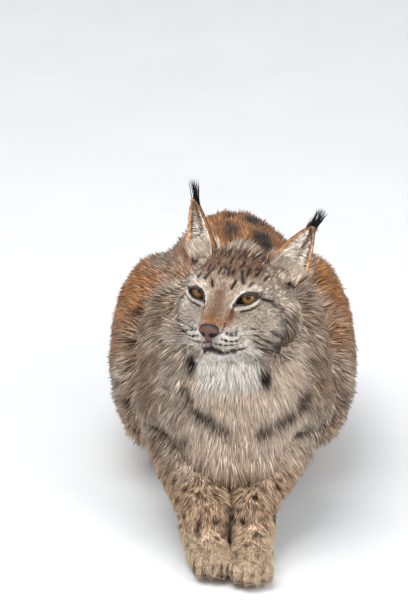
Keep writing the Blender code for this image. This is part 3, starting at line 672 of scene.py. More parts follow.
def body_coat_depth(points):
    """How deep the coat is on the body: more on chest and shoulders, less on the legs, least on the paws."""
    y, z = points[:, 1], points[:, 2]
    depth = BODY_DEPTH + 0.4 * step_up(12 - y, 0, 6) * step_up(z, 10, 16)
    leg = step_up(12.5 - z, 0, 5) * step_up(14 - y, 0, 4)
    depth = depth * (1 - leg) + LEG_DEPTH * leg
    low = step_up(6.5 - z, 0, 3) * step_up(6 - y, 0, 4) + step_up(5.5 - z, 0, 2) * step_up(y, 26, 30)
    return depth * (1 - low) + PAW_DEPTH * low


def fused(name, parts, grain, smoothing):
    """The forms melted into one skin, then drawn in by the depth of the coat."""
    obj = make_piece(name, *joined(parts), None)
    fuse = obj.modifiers.new("fuse", "REMESH")
    fuse.mode = "VOXEL"
    fuse.voxel_size = grain * CM
    soften = obj.modifiers.new("soften", "SMOOTH")
    soften.factor = 0.5
    soften.iterations = smoothing
    settle(obj)
    points, normals = mesh_arrays(obj)
    points = points - normals * body_coat_depth(points)[:, None]
    points[:, 2] = np.maximum(points[:, 2], SOLE_HEIGHT)
    obj.data.vertices.foreach_set("co", (points * CM + BODY_ORIGIN).astype(np.float32).ravel())
    obj.data.update()
    return obj


def ray(angle, turn):
    """The direction at an angle from the face's axis, turned about that axis from straight up, in radians."""
    return vectors(np.sin(angle) * np.sin(turn), -np.cos(angle), np.sin(angle) * np.cos(turn))


def close_poles(obj):
    """Merges the points that meet at the poles of a grid and turns its faces out."""
    form = bmesh.new()
    form.from_mesh(obj.data)
    bmesh.ops.remove_doubles(form, verts=form.verts, dist=0.00005)
    holes = [edge for edge in form.edges if edge.is_boundary]
    if holes:
        bmesh.ops.holes_fill(form, edges=holes, sides=0)
    bmesh.ops.recalc_face_normals(form, faces=form.faces)
    form.to_mesh(obj.data)
    form.free()


skin = fused("skin", forms, TRUNK_GRAIN, 16)
limbs = [fused("leg", make(side), LEG_GRAIN, 3)
         for make in (foreleg_forms, hindfoot_forms) for side in (1, -1)]

ring, turn = np.meshgrid(np.linspace(0, 1, HEAD_RINGS),
                         np.linspace(0, 2 * math.pi, HEAD_TURNS, endpoint=False), indexing="ij")
rays = ray(np.radians(0.4 + 179.2 * (0.55 * ring + 0.45 * ring**2.2)), turn).reshape(-1, 3)
points = on_head(rays, head_coat_depth(on_head(rays, 0)))
a, b = chart_of(points)
groove = 0.28 * near_line(abs(a), b, MOUTH_LINE, 2.0) + 0.14 * near_line(a, b, ((0, -19), (0, -30)), 1.4)
for side in (1, -1):
    ball_gap = np.hypot(side * points[:, 0] - EYE_SPACING / 2, points[:, 2])
    socket = 0.12 + 0.6 * step_up(1.3 - ball_gap, 0, 0.2)
    groove = np.maximum(groove, (1 - step_up(eye_gap(points, side), -0.02, 0.08)) * socket)
points = points - unit(points - HEAD_MIDDLE) * groove[:, None]
head = make_piece("head_form", from_head(points), grid_faces(HEAD_RINGS, HEAD_TURNS), None)
close_poles(head)
for piece in (head, *limbs):
    union = skin.modifiers.new("join", "BOOLEAN")
    union.operation = "UNION"
    union.solver = "MANIFOLD"
    union.object = piece
    settle(skin)
    bpy.data.objects.remove(piece)
skin_points, skin_normals = mesh_arrays(skin)


def on_the_head(points):
    """1 where a place in the body's frame belongs to the head rather than to the neck."""
    inside = to_head(points)
    return step_up(0.4 - head_distance(inside), 0, 0.4) * step_up(10.5 - inside[:, 1], 0, 2)


def coat_colour(points):
    """The marking at any place in the body's frame."""
    share = on_the_head(points)[:, None]
    return bib_colour(body_colour(points) * (1 - share) + head_colour(to_head(points)) * share, points)


def paint_points(obj, shades):
    """Keeps a colour for each point of a piece, which its material reads as the marking."""
    layer = obj.data.color_attributes.new("marking", "FLOAT_COLOR", "POINT")
    paint = np.ones((len(shades), 4), np.float32)
    paint[:, :3] = shades
    layer.data.foreach_set("color", paint.ravel())


def show_marking(tree, shader, texture, **reach):
    """Feeds the shader the marking, made lighter and darker as the texture is, and returns that light."""
    marking = add_node(tree, "ShaderNodeVertexColor", {"layer_name": "marking"})
    settings = {socket.replace("_", " "): value for socket, value in reach.items()}
    light = add_node(tree, "ShaderNodeMapRange", settings, {"Value": texture}).outputs["Result"]
    add_node(tree, "ShaderNodeMix", {"data_type": "RGBA", "blend_type": "MULTIPLY", "Factor": 1.0},
             {6: marking.outputs["Color"], 7: light}, (2, shader.inputs["Base Color"]))
    return light


hide, tree, shader, pores = new_material("hide_under_fur", 1.1, 4.0, Roughness=0.8)
show_marking(tree, shader, pores, To_Min=0.55, To_Max=1.0)
add_node(tree, "ShaderNodeBump", {"Strength": 0.5, "Distance": 0.001}, {"Height": pores},
         ("Normal", shader.inputs["Normal"]))
paint_points(skin, coat_colour(skin_points) * 0.8)
skin.data.polygons.foreach_set("use_smooth", np.full(len(skin.data.polygons), True))
skin.data.materials.clear()
skin.data.materials.append(hide)
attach(skin, "root")
FLESH = ["head", "neck", "torso", "tail"]
FLESH += [part + side for part in ("foreleg", "forepaw", "hindleg", "hindfoot")
          for side in ("_left", "_right")]
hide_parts(*FLESH)

# Coat. Guard hair over wool, as it lies on the living animal: from the nose back over head and trunk, down
# over chest, thighs and legs and forwards over the paws. Each tuft is a thin closed spindle of joined hair
# tips, rooted in the skin, dark at its root and pale or dark at its tip.
BEND = {1: ((0.42, 1.0),), 2: ((0.3, 1.0), (0.68, 0.72)), 3: ((0.22, 0.9), (0.5, 1.0), (0.78, 0.6))}
PATCH, LOWEST = 0.003, 0.02
FACE_TUFTS, CROWN_TUFTS, BODY_TUFTS, CHEST_MORE, LOW_MORE = 165, 70, 19, 30, 26
FACE_HAIR, BODY_HAIR, LEG_HAIR, PAW_HAIR = 0.36, 1.95, 1.25, 0.62
BOLD_TUFTS, DARK_TIPS = 0.16, 0.2

guard_hair, tree, shader, strands = new_material("guard_hair", 0.3, 2.0, Roughness=0.62, Sheen_Weight=0.05,
                                                 Sheen_Roughness=0.5, Specular_IOR_Level=0.18)
show_marking(tree, shader, strands, To_Min=0.86, To_Max=1.12)


def tuft_piece(name, root, outward, lie, length, width, lift, shades, chart, bends=1, droop=0.0, swerve=0.0,
               sink=0.12):
    """One coat piece: closed three-sided tufts from sink under the skin to a point.

    A tuft runs along the lie, rises by lift times its length on a quarter sine, falls by droop times the
    square of its share and swerves sideways likewise. Shades are the colours of root, middle and tip. Chart
    is the root's place on the unrolled skin, where the tuft has a small patch of the OFBake map.
    """
    count = len(root)
    across = unit(np.cross(lie, outward))
    length, width, lift, droop, swerve = (np.broadcast_to(v, (count,))[:, None]
                                          for v in (length, width, lift, droop, swerve))

    def place(share):
        """The tuft's middle line at a share of its length."""
        return (root - outward * sink * (1 - share) + lie * length * share
                + outward * length * lift * math.sin(share * math.pi / 2)
                + across * length * swerve * share**2 - np.array((0, 0, 1)) * length * droop * share**2)

    corners, tones, patch = [place(0)], [shades[0]], [(0, 0)]
    for share, spread in BEND[bends]:
        for side, high in ((0.5, -0.1), (0, 0.34), (-0.5, -0.1)):
            corners.append(place(share) + across * width * side * spread + outward * width * high * spread)
            tones.append(shades[1] * (1 - share) ** 0.5 + shades[2] * (1 - (1 - share) ** 0.5))
            patch.append((side, share))
    corners.append(place(1))
    tones.append(shades[2])
    patch.append((0, 1))
    each = len(corners)
    points = np.stack(corners, axis=1).reshape(-1, 3)
    points[:, 2] = np.maximum(points[:, 2], LOWEST)
    one = [(0, 1 + (i + 1) % 3, 1 + i) for i in range(3)]
    for near in range(1, 3 * bends - 2, 3):
        for i in range(3):
            after = (i + 1) % 3
            one += [(near + i, near + after, near + 3 + i), (near + after, near + 3 + after, near + 3 + i)]
    one += [(each - 4 + i, each - 4 + (i + 1) % 3, each - 1) for i in range(3)]
    faces = (np.array(one)[None] + (np.arange(count) * each)[:, None, None]).reshape(-1, 3)
    piece = make_piece(name, points, faces, guard_hair)
    paint_points(piece, np.stack(tones, axis=1).reshape(-1, 3))
    flat = (chart[:, None, :] + np.array(patch)[None] * PATCH).reshape(-1, 2)
    bake = piece.data.uv_layers.new(name="OFBake")
    bake.uv.foreach_set("vector", flat[faces.ravel()].astype(np.float32).ravel())
    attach(piece, "root")


def scatter(density, draws):
    """Random places on the skin, so many to each square centimetre of each of its faces, and the way out."""
    wanted = areas * density
    count = np.floor(wanted + draws.random(len(wanted))).astype(int)
    owner = triangles[np.repeat(np.arange(len(wanted)), count)]
    first, second = draws.random(len(owner)), draws.random(len(owner))
    flip = first + second > 1
    first, second = np.where(flip, 1 - first, first), np.where(flip, 1 - second, second)
    shares = vectors(1 - first - second, first, second)[..., None]
    return (skin_points[owner] * shares).sum(axis=1), unit((skin_normals[owner] * shares).sum(axis=1))


COMBS = (
    ((0, 18, 30), (0, 1, -0.1), 7), ((0, 40, 30), (0, 1, -0.25), 9), ((0, 57, 22), (0, 0.5, -0.9), 7),
    ((12, 22, 20), (0.1, 0.8, -0.55), 7), ((11, 30, 9), (0, 0.9, -0.4), 7),
    ((15, 36, 24), (0.2, 0.6, -0.75), 7), ((15, 38, 12), (0, 0.5, -0.85), 8),
    ((10, 10, 25), (0.35, 0.3, -0.9), 6), ((10, 9, 15), (0.1, 0.1, -1), 5),
    ((0, 2, 25), (0, -0.1, -1), 6), ((0, 1, 14), (0, 0.25, -1), 6), ((7, 3, 22), (0.3, 0, -1), 5),
    ((3, 3, 8), (0, -0.15, -1), 5), ((3, -3, 3), (0, -1, -0.25), 3), ((6, 34, 2), (0, -1, -0.1), 4),
    ((7, 46, 4), (0, -1, -0.2), 5), ((0, 30, 3), (0, 1, 0), 8),
)


def tail_gap(points):
    """How far points lie outside the furred tail."""
    return np.minimum(limb_distance(points, tail_bend, 3.6, tail_rest, 3.4),
                      limb_distance(points, tail_rest, 3.4, tail_tip, 3.2))


def body_lie(points):
    """Which way the coat lies on the body: a few combs, each with its direction, blended by nearness."""
    half = folded(points - (BODY_X, 0, 0))
    total = np.zeros_like(points)
    for place, way, reach in COMBS:
        weight = np.exp(-(np.linalg.norm(half - place, axis=1) / reach) ** 2) + 1e-6
        total += weight[:, None] * unit(np.array(way, float))
    total[:, 0] *= np.sign(points[:, 0] - BODY_X)
    along_tail = np.exp(-(np.maximum(tail_gap(points), 0) / 0.8) ** 2) * step_up(points[:, 1], 57, 59)
    return unit(total) * (1 - along_tail[:, None]) + unit(tail_tip - tail_bend) * along_tail[:, None]


def head_lie(points):
    """On the head the coat lies away from the nose, and down over the cheeks."""
    way = unit(points - (0, -5.0, -3.0))
    way[:, 2] -= 0.55 * near_spot(*chart_of(points), (85, -20), 30, 40)
    return way


def flat_to(way, outward):
    """The part of a direction that lies along the skin."""
    return unit(way - outward * (way * outward).sum(axis=1, keepdims=True))


def clump(points, size, shift):
    """Small sideways leanings that neighbouring tufts share, as damp or weathered hair gathers."""
    return vectors(*(noise(points + shift + 17 * i, size) - 0.5 for i in range(3)))


def cylinder_chart(points, start, end, spare=6.0):
    """The skin unrolled round a line: share of a turn, and share along."""
    start, end = np.array(start, float), np.array(end, float)
    length = np.linalg.norm(end - start)
    along = (end - start) / length
    side = unit(np.cross(along, (0.2, 0.3, 1.0)))
    away = points - start
    turn = np.arctan2(away @ np.cross(along, side), away @ side) / (2 * math.pi) + 0.5
    return vectors(0.01 + 0.97 * turn, np.clip((away @ along + spare) / (length + 2 * spare), 0.005, 0.99))


def head_map(points):
    """The chart of the head as a map from 0 to 1."""
    return vectors(*chart_of(points)) / 370 + 0.5


def ticking(points, size, draws, spread=3.2):
    """How light each tuft is: a fine noise shared by its neighbours, times a draw of its own."""
    shared = spread ** (step_up(noise(points, size), 0.15, 0.85) - 0.5)
    return (shared * draws.uniform(0.75, 1.25, len(points)))[:, None]


def ticked(tone, light):
    """A marking made lighter or darker by the ticking: browner where dark, and fainter in white hair."""
    even = 0.7 * step_up(tone.mean(axis=1), 0.5, 0.8)[:, None]
    warm = np.where(light < 1, light ** np.array((0.88, 1.0, 1.12)), light)
    return tone * (warm * (1 - even) + even)


def tones_of(points, reach, draws):
    """Root, middle and tip colours of tufts: the marking where each part of the tuft lies.

    The root is darkened as wool is, and the tip is lighter or, on some tufts, dark.
    """
    near = on_the_head(points)[:, None] > 0.5
    light = np.where(near, ticking(points, 0.2, draws, 1.8), ticking(points, 0.27, draws, 2.9))
    root, middle, tip = (ticked(coat_colour(points + reach * share), light) for share in (0.2, 0.55, 0.9))
    dark = draws.random((len(points), 1)) < DARK_TIPS
    return root * 0.55, middle, np.where(dark, tip * 0.45, tip * 1.15)


def coat_density(points):
    """Tufts to a square centimetre."""
    angle = np.hypot(*chart_of(to_head(points)))
    head = FACE_TUFTS - (FACE_TUFTS - CROWN_TUFTS) * step_up(angle, 58, 85)
    low = step_up(9 - points[:, 2], 0, 4)
    body = BODY_TUFTS + CHEST_MORE * step_up(11 - points[:, 1], 0, 5) + LOW_MORE * low
    body = body * (1 - 0.6 * low * step_up(points[:, 1], 8, 12))
    share = on_the_head(points)
    return body * (1 - share) + head * share


def coat_length(points):
    """How long the hair is, in centimetres."""
    a, b = chart_of(to_head(points))
    side, angle = abs(a), np.hypot(a, b)
    head = FACE_HAIR + 0.34 * step_up(angle, 35, 65) + 0.9 * step_up(angle, 78, 110)
    head = head * (1 - 0.3 * near_spot(side, b, EYE_PLACE, 17, 13))
    head = head + 0.9 * near_spot(side, b, (20, -85), 45, 22) + 0.9 * near_spot(side, b, (0, 112), 45, 26)
    x, y, z = abs(points[:, 0] - BODY_X), points[:, 1], points[:, 2]
    fluff = step_up(5.5 - x, 0, 3) * step_up(6 - y, 0, 2) * near_spot(y, z, (2, 13), 9, 2.6)
    body = BODY_HAIR + 0.35 * step_up(11 - y, 0, 6) * step_up(z, 10, 14) + 1.9 * fluff
    leg = step_up(13 - z, 0, 5) * step_up(12 - y, 0, 4)
    body = body * (1 - leg) + LEG_HAIR * leg
    low = step_up(6 - z, 0, 3)
    share = on_the_head(points)
    return (body * (1 - low) + PAW_HAIR * low) * (1 - share) + head * share


skin.data.calc_loop_triangles()
triangles = np.empty(len(skin.data.loop_triangles) * 3, np.int32)
skin.data.loop_triangles.foreach_get("vertices", triangles)
triangles = triangles.reshape(-1, 3)
corners = skin_points[triangles]
areas = np.linalg.norm(np.cross(corners[:, 1] - corners[:, 0], corners[:, 2] - corners[:, 0]), axis=1) / 2

draws = np.random.default_rng(11)
place, outward = scatter(coat_density(corners.mean(axis=1)), draws)
inside = to_head(place)
keep = (place[:, 2] >= 0.5) | (outward[:, 2] >= -0.5)
keep &= (eye_gap(inside, 1) > 0.06) & (eye_gap(inside, -1) > 0.06)
keep &= np.linalg.norm((inside - (0, -5.0, -3.3)) / (1.2, 0.9, 1.0), axis=1) > 1
place, outward, inside = place[keep], outward[keep], inside[keep]
count, share = len(place), on_the_head(place)
way = body_lie(place) * (1 - share[:, None]) + (head_lie(inside) @ HEAD_TURN.T) * share[:, None]
length = coat_length(place) * draws.uniform(0.75, 1.2, count)
way = way + clump(place, 1.3, 5) * 0.55 * (1 - 0.5 * share[:, None]) + draws.normal(0, 0.1, (count, 3))
lie = flat_to(way, outward)
bold = draws.random(count) < BOLD_TUFTS
width = np.clip(0.045 + 0.045 * length, 0.06, 0.17) * draws.uniform(0.8, 1.2, count)
width = width * (1 + (0.25 + 0.5 * share) * bold)
lift = (0.42 + 0.3 * (noise(place + 70, 1.0) - 0.5)) * (1 - 0.45 * share) * (1 + 0.2 * bold)
lift = lift + 0.4 * near_spot(*chart_of(inside), (0, 110), 50, 26) * share
reach = (lie + outward * lift[:, None]) * length[:, None]
shades = tones_of(place, reach, draws)
sharper = np.where(draws.random(count) < 0.5, -0.38, 0.28) * bold * (0.25 + 0.75 * share)
shades = [tone * np.minimum(1 + sharper[:, None], 0.95 / np.maximum(tone.max(axis=1, keepdims=True), 0.01))
          for tone in shades]

tip = to_head(place + reach)
left = (eye_gap(tip, 1) > 0) & (eye_gap(tip, -1) > 0)
x, y, z = place.T
of_head, of_left = share > 0.5, x > BODY_X
of_foreleg = (z < 13.5) & (y < 9 + 0.35 * z)
of_hindleg = (abs(x - BODY_X) > 9.5) & (y > 20)
FORELEG_LINE, HINDLEG_LINE = ((0, 12, 15), (0, 0, 0)), ((0, 36, 40), (0, 36, -10))
TRUNK_LINE = ((BODY_X, 10, 16), (BODY_X, 60, 16))
for name, chosen, line in (
        ("coat_head_face", of_head & (np.hypot(*chart_of(inside)) < 62), None),
        ("coat_head_crown", of_head, None),
        ("coat_tail", (tail_gap(place) < -0.2) & (y > TRUNK_LENGTH - 2), (tail_bend, tail_tip)),
        ("coat_foreleg_left", of_foreleg & of_left, FORELEG_LINE),
        ("coat_foreleg_right", of_foreleg, FORELEG_LINE),
        ("coat_hindleg_left", of_hindleg & of_left, HINDLEG_LINE),
        ("coat_hindleg_right", of_hindleg, HINDLEG_LINE),
        ("coat_neck", y < 11, ((0, 10, 40), (0, 10, 5))),
        ("coat_trunk_left", of_left, TRUNK_LINE),
        ("coat_trunk_right", ~of_left, TRUNK_LINE)):
    some = left & chosen
    left &= ~some
    chart = cylinder_chart(place[some], *line) if line else head_map(inside[some])
    tuft_piece(name, place[some], outward[some], lie[some], length[some], width[some], lift[some],
               [tone[some] for tone in shades], chart)

# Ruff. The beard of the cheeks: long flat locks from under the ears down to both corners of the throat,
# drawn over the neck, pale towards the tips and brown where the dark band of the cheek crosses them.
RUFF_ROWS, RUFF_HAIRS, RUFF_LENGTH = 5, 520, 4.6
draws = np.random.default_rng(21)
locks = []
for side in (1, -1):
    push = 0 if side > 0 else 0.4
    for row in range(RUFF_ROWS):
        turn = np.radians(77 + 83 * draws.random(RUFF_HAIRS))
        back = np.radians(9 + 6.5 * (row + draws.random(RUFF_HAIRS)) - 8 * np.cos(2 * turn))
        rays = vectors(side * np.sin(turn) * np.cos(back), np.sin(back), np.cos(turn) * np.cos(back))
        root = on_head(rays, 0.9)
        out = outward_of(root)
        corner = np.exp(-((np.degrees(turn) - 135) / 28) ** 2)
        way = vectors(side * (0.45 + 0.25 * corner + push), 0.55 - 0.35 * corner - push, -1)
        way = flat_to(way + draws.normal(0, 0.12, (RUFF_HAIRS, 3)), out)
        length = RUFF_LENGTH * (0.42 + 0.5 * corner) * draws.uniform(0.6, 1.1, RUFF_HAIRS)
        locks.append((root, out, way, length))
inside, outward, lie, length = (np.concatenate(part) for part in zip(*locks))
count = len(length)
lift = draws.uniform(0.2, 0.34, count)
place, outward, lie = from_head(inside), outward @ HEAD_TURN.T, lie @ HEAD_TURN.T
lie = unit(lie + clump(place, 1.6, 9) * 0.35)
a, b = chart_of(inside)
vary = ticking(place, 0.34, draws)
near = ticked(head_colour(inside), vary)
tips = painted(near * 0.4 + 0.6 * PAINT["grey_pale"] * vary, ("spot", 0.75 * (draws.random(count) < 0.16)),
               ("brown", 0.75 * near_line(abs(a), b, CHEEK_BAND, 11) * (0.3 + 0.7 * (a > 0))))
tips = bib_colour(tips, place + lie * length[:, None] * 0.85)
tuft_piece("coat_ruff", place, outward, lie, length, draws.uniform(0.1, 0.19, count), lift,
           [near * 0.75, near, tips], head_map(inside), bends=2, droop=0.06,
           swerve=draws.normal(0, 0.08, count))

# Ears. Each is one cupped leaf of skin and cartilage, thin at its rim. Pale hair grows across the cup from
# its inner edge over short dark hair, dark partly as the ear's own hair and partly as painted shade in the
# hollow of the cup; rusty hair edges it, the back is black round a grey patch, and a long black tuft tops it.
EAR_HEIGHT, EAR_WIDTH, EAR_CUP, EAR_SKIN = 7.0, 5.6, 1.7, 0.13
EAR_LEAN, EAR_TURN = {1: 27, -1: 12}, {1: 16, -1: 30}
EAR_FOOT = {1: (4.95, 6.7, 1.6), -1: (-4.95, 6.7, 2.3)}
EAR_TUFT, EAR_TUFT_HAIRS, SHELL_ROWS, SHELL_TURNS = 3.7, 64, 40, 48
CUP_HAIRS, PALE_HAIRS, BASE_HAIRS, BACK_HAIRS, RIM_HAIRS, RIM_BACK_HAIRS = 3000, 1500, 1700, 3400, 2300, 1300

ear_skin, tree, shader, veins = new_material("ear_skin", 0.4, 4.0, Roughness=0.6)
tone = add_node(tree, "ShaderNodeValToRGB", None, {"Fac": veins}, ("Color", shader.inputs["Base Color"]))
set_ramp(tone.color_ramp, (0, "6d5545"), (1, "96796a"))
add_node(tree, "ShaderNodeBump", {"Strength": 0.4, "Distance": 0.001}, {"Height": veins},
         ("Normal", shader.inputs["Normal"]))


def ear_leaf(across, up):
    """The middle of the ear's leaf: its half width falls to nothing at the tip, and it bows back as a cup."""
    half = EAR_WIDTH / 2 * (1 - up) ** 0.62 * np.minimum(1, 0.75 + 1.2 * up)
    return vectors(across * half, EAR_CUP * (1 - up) ** 0.5 * (1 - across**2), up * EAR_HEIGHT)


def leaf_out(across, up):
    """The way out of the back of the leaf, from its slopes across and up."""
    step = 0.01
    over = ear_leaf(across + step, up) - ear_leaf(across - step, up)
    rise = ear_leaf(across, np.clip(up + step, 0, 0.995)) - ear_leaf(across, np.clip(up - step, -0.2, 0.985))
    return unit(np.cross(rise, over))


def ear_hair(across, up, front, way, length, width, lift, tones):
    """Hairs on the front or back of the leaf: root, way out, lie, length, width, lift, three tones and map.

    Across runs from edge to edge as -1 to 1, up from foot to tip as 0 to 1, and way is sideways and up.
    """
    count = len(up)
    out = leaf_out(np.clip(across, -0.97, 0.97), np.clip(up, 0.02, 0.97)) * (-1 if front else 1)
    depth = EAR_SKIN * np.sqrt(np.clip(1 - across**2, 0, 1)) * (1.15 - up)
    root = ear_leaf(across, up) + out * depth[:, None]
    lie = flat_to(vectors(way[0], 0, way[1]) + draws.normal(0, 0.12, (count, 3)), out)
    length = length * draws.uniform(0.75, 1.15, count)
    width = width * draws.uniform(0.8, 1.2, count)
    vary = ticking(root, 0.2, draws, 2.6)
    chart = vectors(0.27 + 0.2 * across + (0 if front else 0.46), 0.05 + 0.85 * np.clip(up, 0, 1))
    shades = [PAINT[tone] * vary for tone in tones]
    return [root, out, lie, length, width, np.full(count, lift), *shades, chart]


for word, side in (("left", 1), ("right", -1)):
    spin = HEAD_TURN @ turned((side * EAR_TURN[side], side * EAR_LEAN[side]), "ZY")
    foot = from_head(np.array(EAR_FOOT[side]))
    up, share = np.meshgrid(np.linspace(-0.12, 0.985, SHELL_ROWS),
                            np.linspace(0, 2 * math.pi, SHELL_TURNS, endpoint=False), indexing="ij")
    up, share = up.ravel(), share.ravel()
    leaf = ear_leaf(np.cos(share), np.clip(up, 0, 1)) + vectors(0, 0, np.minimum(up, 0) * EAR_HEIGHT)
    thick = EAR_SKIN * np.sin(share) * (1.15 - up)
    shell = leaf + leaf_out(np.cos(share) * 0.98, np.clip(up, 0.02, 0.97)) * thick[:, None]
    ear = make_piece("ear_shell_" + word, shell @ spin.T + foot, grid_faces(SHELL_ROWS, SHELL_TURNS),
                     ear_skin)
    close_poles(ear)
    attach(ear, "root")
    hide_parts("ear_" + word)

    draws = np.random.default_rng(31 + side)
    inner = -side
    # Short hair over the whole cup, dark at root and middle: partly the ear's own hair, partly painted shade
    # in the hollow of the cup.
    up, across = draws.uniform(-0.08, 0.95, CUP_HAIRS), inner * draws.uniform(-0.95, 0.8, CUP_HAIRS)
    outer = step_up(across * side, -0.3, 0.5)
    hairs = [ear_hair(across, up, True, (side * 0.9 * (1 - outer), 0.8 - 0.4 * up + outer * 0.5),
                      1.1 - 0.4 * outer, 0.075, 0.14, ("dark", "undercoat", "grey"))]
    up = 0.02 + 0.85 * draws.random(PALE_HAIRS) ** 1.1
    across = inner * (0.85 - 1.25 * draws.random(PALE_HAIRS) ** 1.2)
    hairs.append(ear_hair(across, up, True, (side * 0.95, 0.55 - 0.4 * up), 1.9 * (1.05 - up) ** 0.6,
                          0.07, 0.22, ("grey", "cream", "cream")))
    up, across = draws.uniform(-0.12, 0.12, BASE_HAIRS), draws.uniform(-0.99, 0.99, BASE_HAIRS)
    for front in (True, False):
        hairs.append(ear_hair(across, up, front, (side * 0.25, 1), 1.5, 0.09, 0.3,
                              ("undercoat", "grey", "grey_pale")))
    for edge, front, count, start, depth, lean, length, lift, tones in (
            (inner, True, RIM_HAIRS, 1.0, 0.34, 0.35, 0.55, 0.2, ("orange", "rust", "tan")),
            (inner, False, RIM_BACK_HAIRS, 0.98, 0.1, 0.1, 0.4, 0.16, ("rust_deep", "rust", "rust")),
            (-inner, True, RIM_HAIRS, 1.0, 0.1, 0.35, 0.55, 0.2, ("rust_deep", "rust", "tan")),
            (-inner, False, RIM_BACK_HAIRS, 0.98, 0.1, 0.1, 0.4, 0.16, ("dark", "brown", "tan"))):
        up = draws.random(count) * 0.98
        across = edge * (start - depth * draws.random(count))
        hairs.append(ear_hair(across, up, front, (edge * -lean, 1), length, 0.08, lift, tones))
    up, across = draws.random(BACK_HAIRS) * 0.97, draws.uniform(-0.93, 0.93, BACK_HAIRS)
    back = ear_hair(across, up, False, (-0.1 * across, 1), 0.7 - 0.2 * up, 0.09, 0.16,
                    ("undercoat", "grey", "grey_pale"))
    patch = near_spot(across, up, (0, 0.42), 0.62, 0.3)[:, None]
    back[6:9] = [tone * patch + PAINT["black"] * (1 - patch) for tone in back[6:9]]
    root, out, lie, length, width, lift, *shades, chart = (np.concatenate(part) for part in zip(*hairs, back))
    tuft_piece("coat_ear_" + word, root @ spin.T + foot, out @ spin.T, lie @ spin.T, length, width, lift,
               shades, chart, sink=0.015)

    up = 0.86 + 0.13 * draws.random(EAR_TUFT_HAIRS)
    across = draws.uniform(-0.9, 0.9, EAR_TUFT_HAIRS)
    fan = draws.normal(0, 1, (EAR_TUFT_HAIRS, 2)) * (0.075, 0.06)
    way = unit(vectors(fan[:, 0] + 0.02, fan[:, 1], 1))
    out = flat_to(unit(vectors(fan[:, 0], -1, 0)), way)
    length = EAR_TUFT * draws.uniform(0.3, 1.0, EAR_TUFT_HAIRS) + 0.3
    length = np.minimum(length, EAR_HEIGHT - 1.1 + EAR_TUFT - up * EAR_HEIGHT)
    black = np.tile(PAINT["black"], (EAR_TUFT_HAIRS, 1))
    tuft_piece("ear_tuft_" + word, ear_leaf(across, up) @ spin.T + foot, out @ spin.T, way @ spin.T, length,
               0.075, 0.0, [black, black, black * 1.3], vectors(0.5 + 0.4 * across, up - 0.05), bends=3,
               swerve=draws.normal(0, 0.09, EAR_TUFT_HAIRS))

# Eyes. Glass eyes as a taxidermist sets them: a clear dome over an amber iris with a round pupil and a dark
# rim, dark brown beyond it. The lids end in a black wet rim, drawn out to a point at the inner corner.
IRIS_EDGE, PUPIL_EDGE = 47.0, 11.0
EYE_AIM, EYES_TURN_IN = (0.30, -0.88, 0.37), 0.20
BALL_RINGS, BALL_TURNS, RIM_POINTS = 60, 72, 97

amber, tree, shader, _ = new_material("glass_eye", Roughness=0.4, Coat_Weight=0.45, Coat_Roughness=0.02,
                                      Specular_IOR_Level=0.1)
polar = add_node(tree, "ShaderNodeUVMap", {"uv_map": "polar"})
parts = add_node(tree, "ShaderNodeSeparateXYZ", None, {"Vector": polar.outputs["UV"]})
rings = add_node(tree, "ShaderNodeValToRGB", None, {"Fac": parts.outputs["Y"]})
pupil, iris = PUPIL_EDGE / 90, IRIS_EDGE / 90
set_ramp(rings.color_ramp, (0, "030202"), (pupil - 0.006, "050302"), (pupil + 0.012, "53390f"),
         (0.24, "775724"), (0.38, "68481c"), (iris - 0.04, "4d300d"), (iris, "1c0f06"),
         (iris + 0.04, "120b07"))
wide = add_node(tree, "ShaderNodeMath", {"operation": "MULTIPLY", 1: 36.0}, {0: parts.outputs["X"]})
stretch = add_node(tree, "ShaderNodeCombineXYZ", None, {"X": wide.outputs[0], "Y": parts.outputs["Y"]})
streaks = add_node(tree, "ShaderNodeTexNoise", {"Scale": 3.0, "Detail": 3.0}, {"Vector": stretch.outputs[0]})
depth = add_node(tree, "ShaderNodeMapRange",
                 {"From Min": 0.3, "From Max": 0.7, "To Min": 0.55, "To Max": 1.35},
                 {"Value": streaks.outputs["Fac"]})
add_node(tree, "ShaderNodeMix", {"data_type": "RGBA", "blend_type": "MULTIPLY", "Factor": 1.0},
         {6: rings.outputs["Color"], 7: depth.outputs["Result"]}, (2, shader.inputs["Base Color"]))

wet_rim, tree, shader, folds = new_material("wet_black_lid", 0.1, 2.0, Roughness=0.32, Coat_Weight=0.3,
                                            Base_Color=colour("17100c"))
add_node(tree, "ShaderNodeBump", {"Strength": 0.3, "Distance": 0.0004}, {"Height": folds},
         ("Normal", shader.inputs["Normal"]))


def tube(path, radii, sides=10):
    """A round profile of changing radius carried along a path of points, closed at both ends."""
    along = unit(np.gradient(path, axis=0))
    side = unit(np.cross(along, (0.13, 0.27, 0.95)))[:, None]
    around = np.linspace(0, 2 * math.pi, sides, endpoint=False)[None, :, None]
    ring = np.cos(around) * side + np.sin(around) * np.cross(along[:, None], side)
    return (path[:, None] + ring * radii[:, None, None]).reshape(-1, 3), grid_faces(len(path), sides)


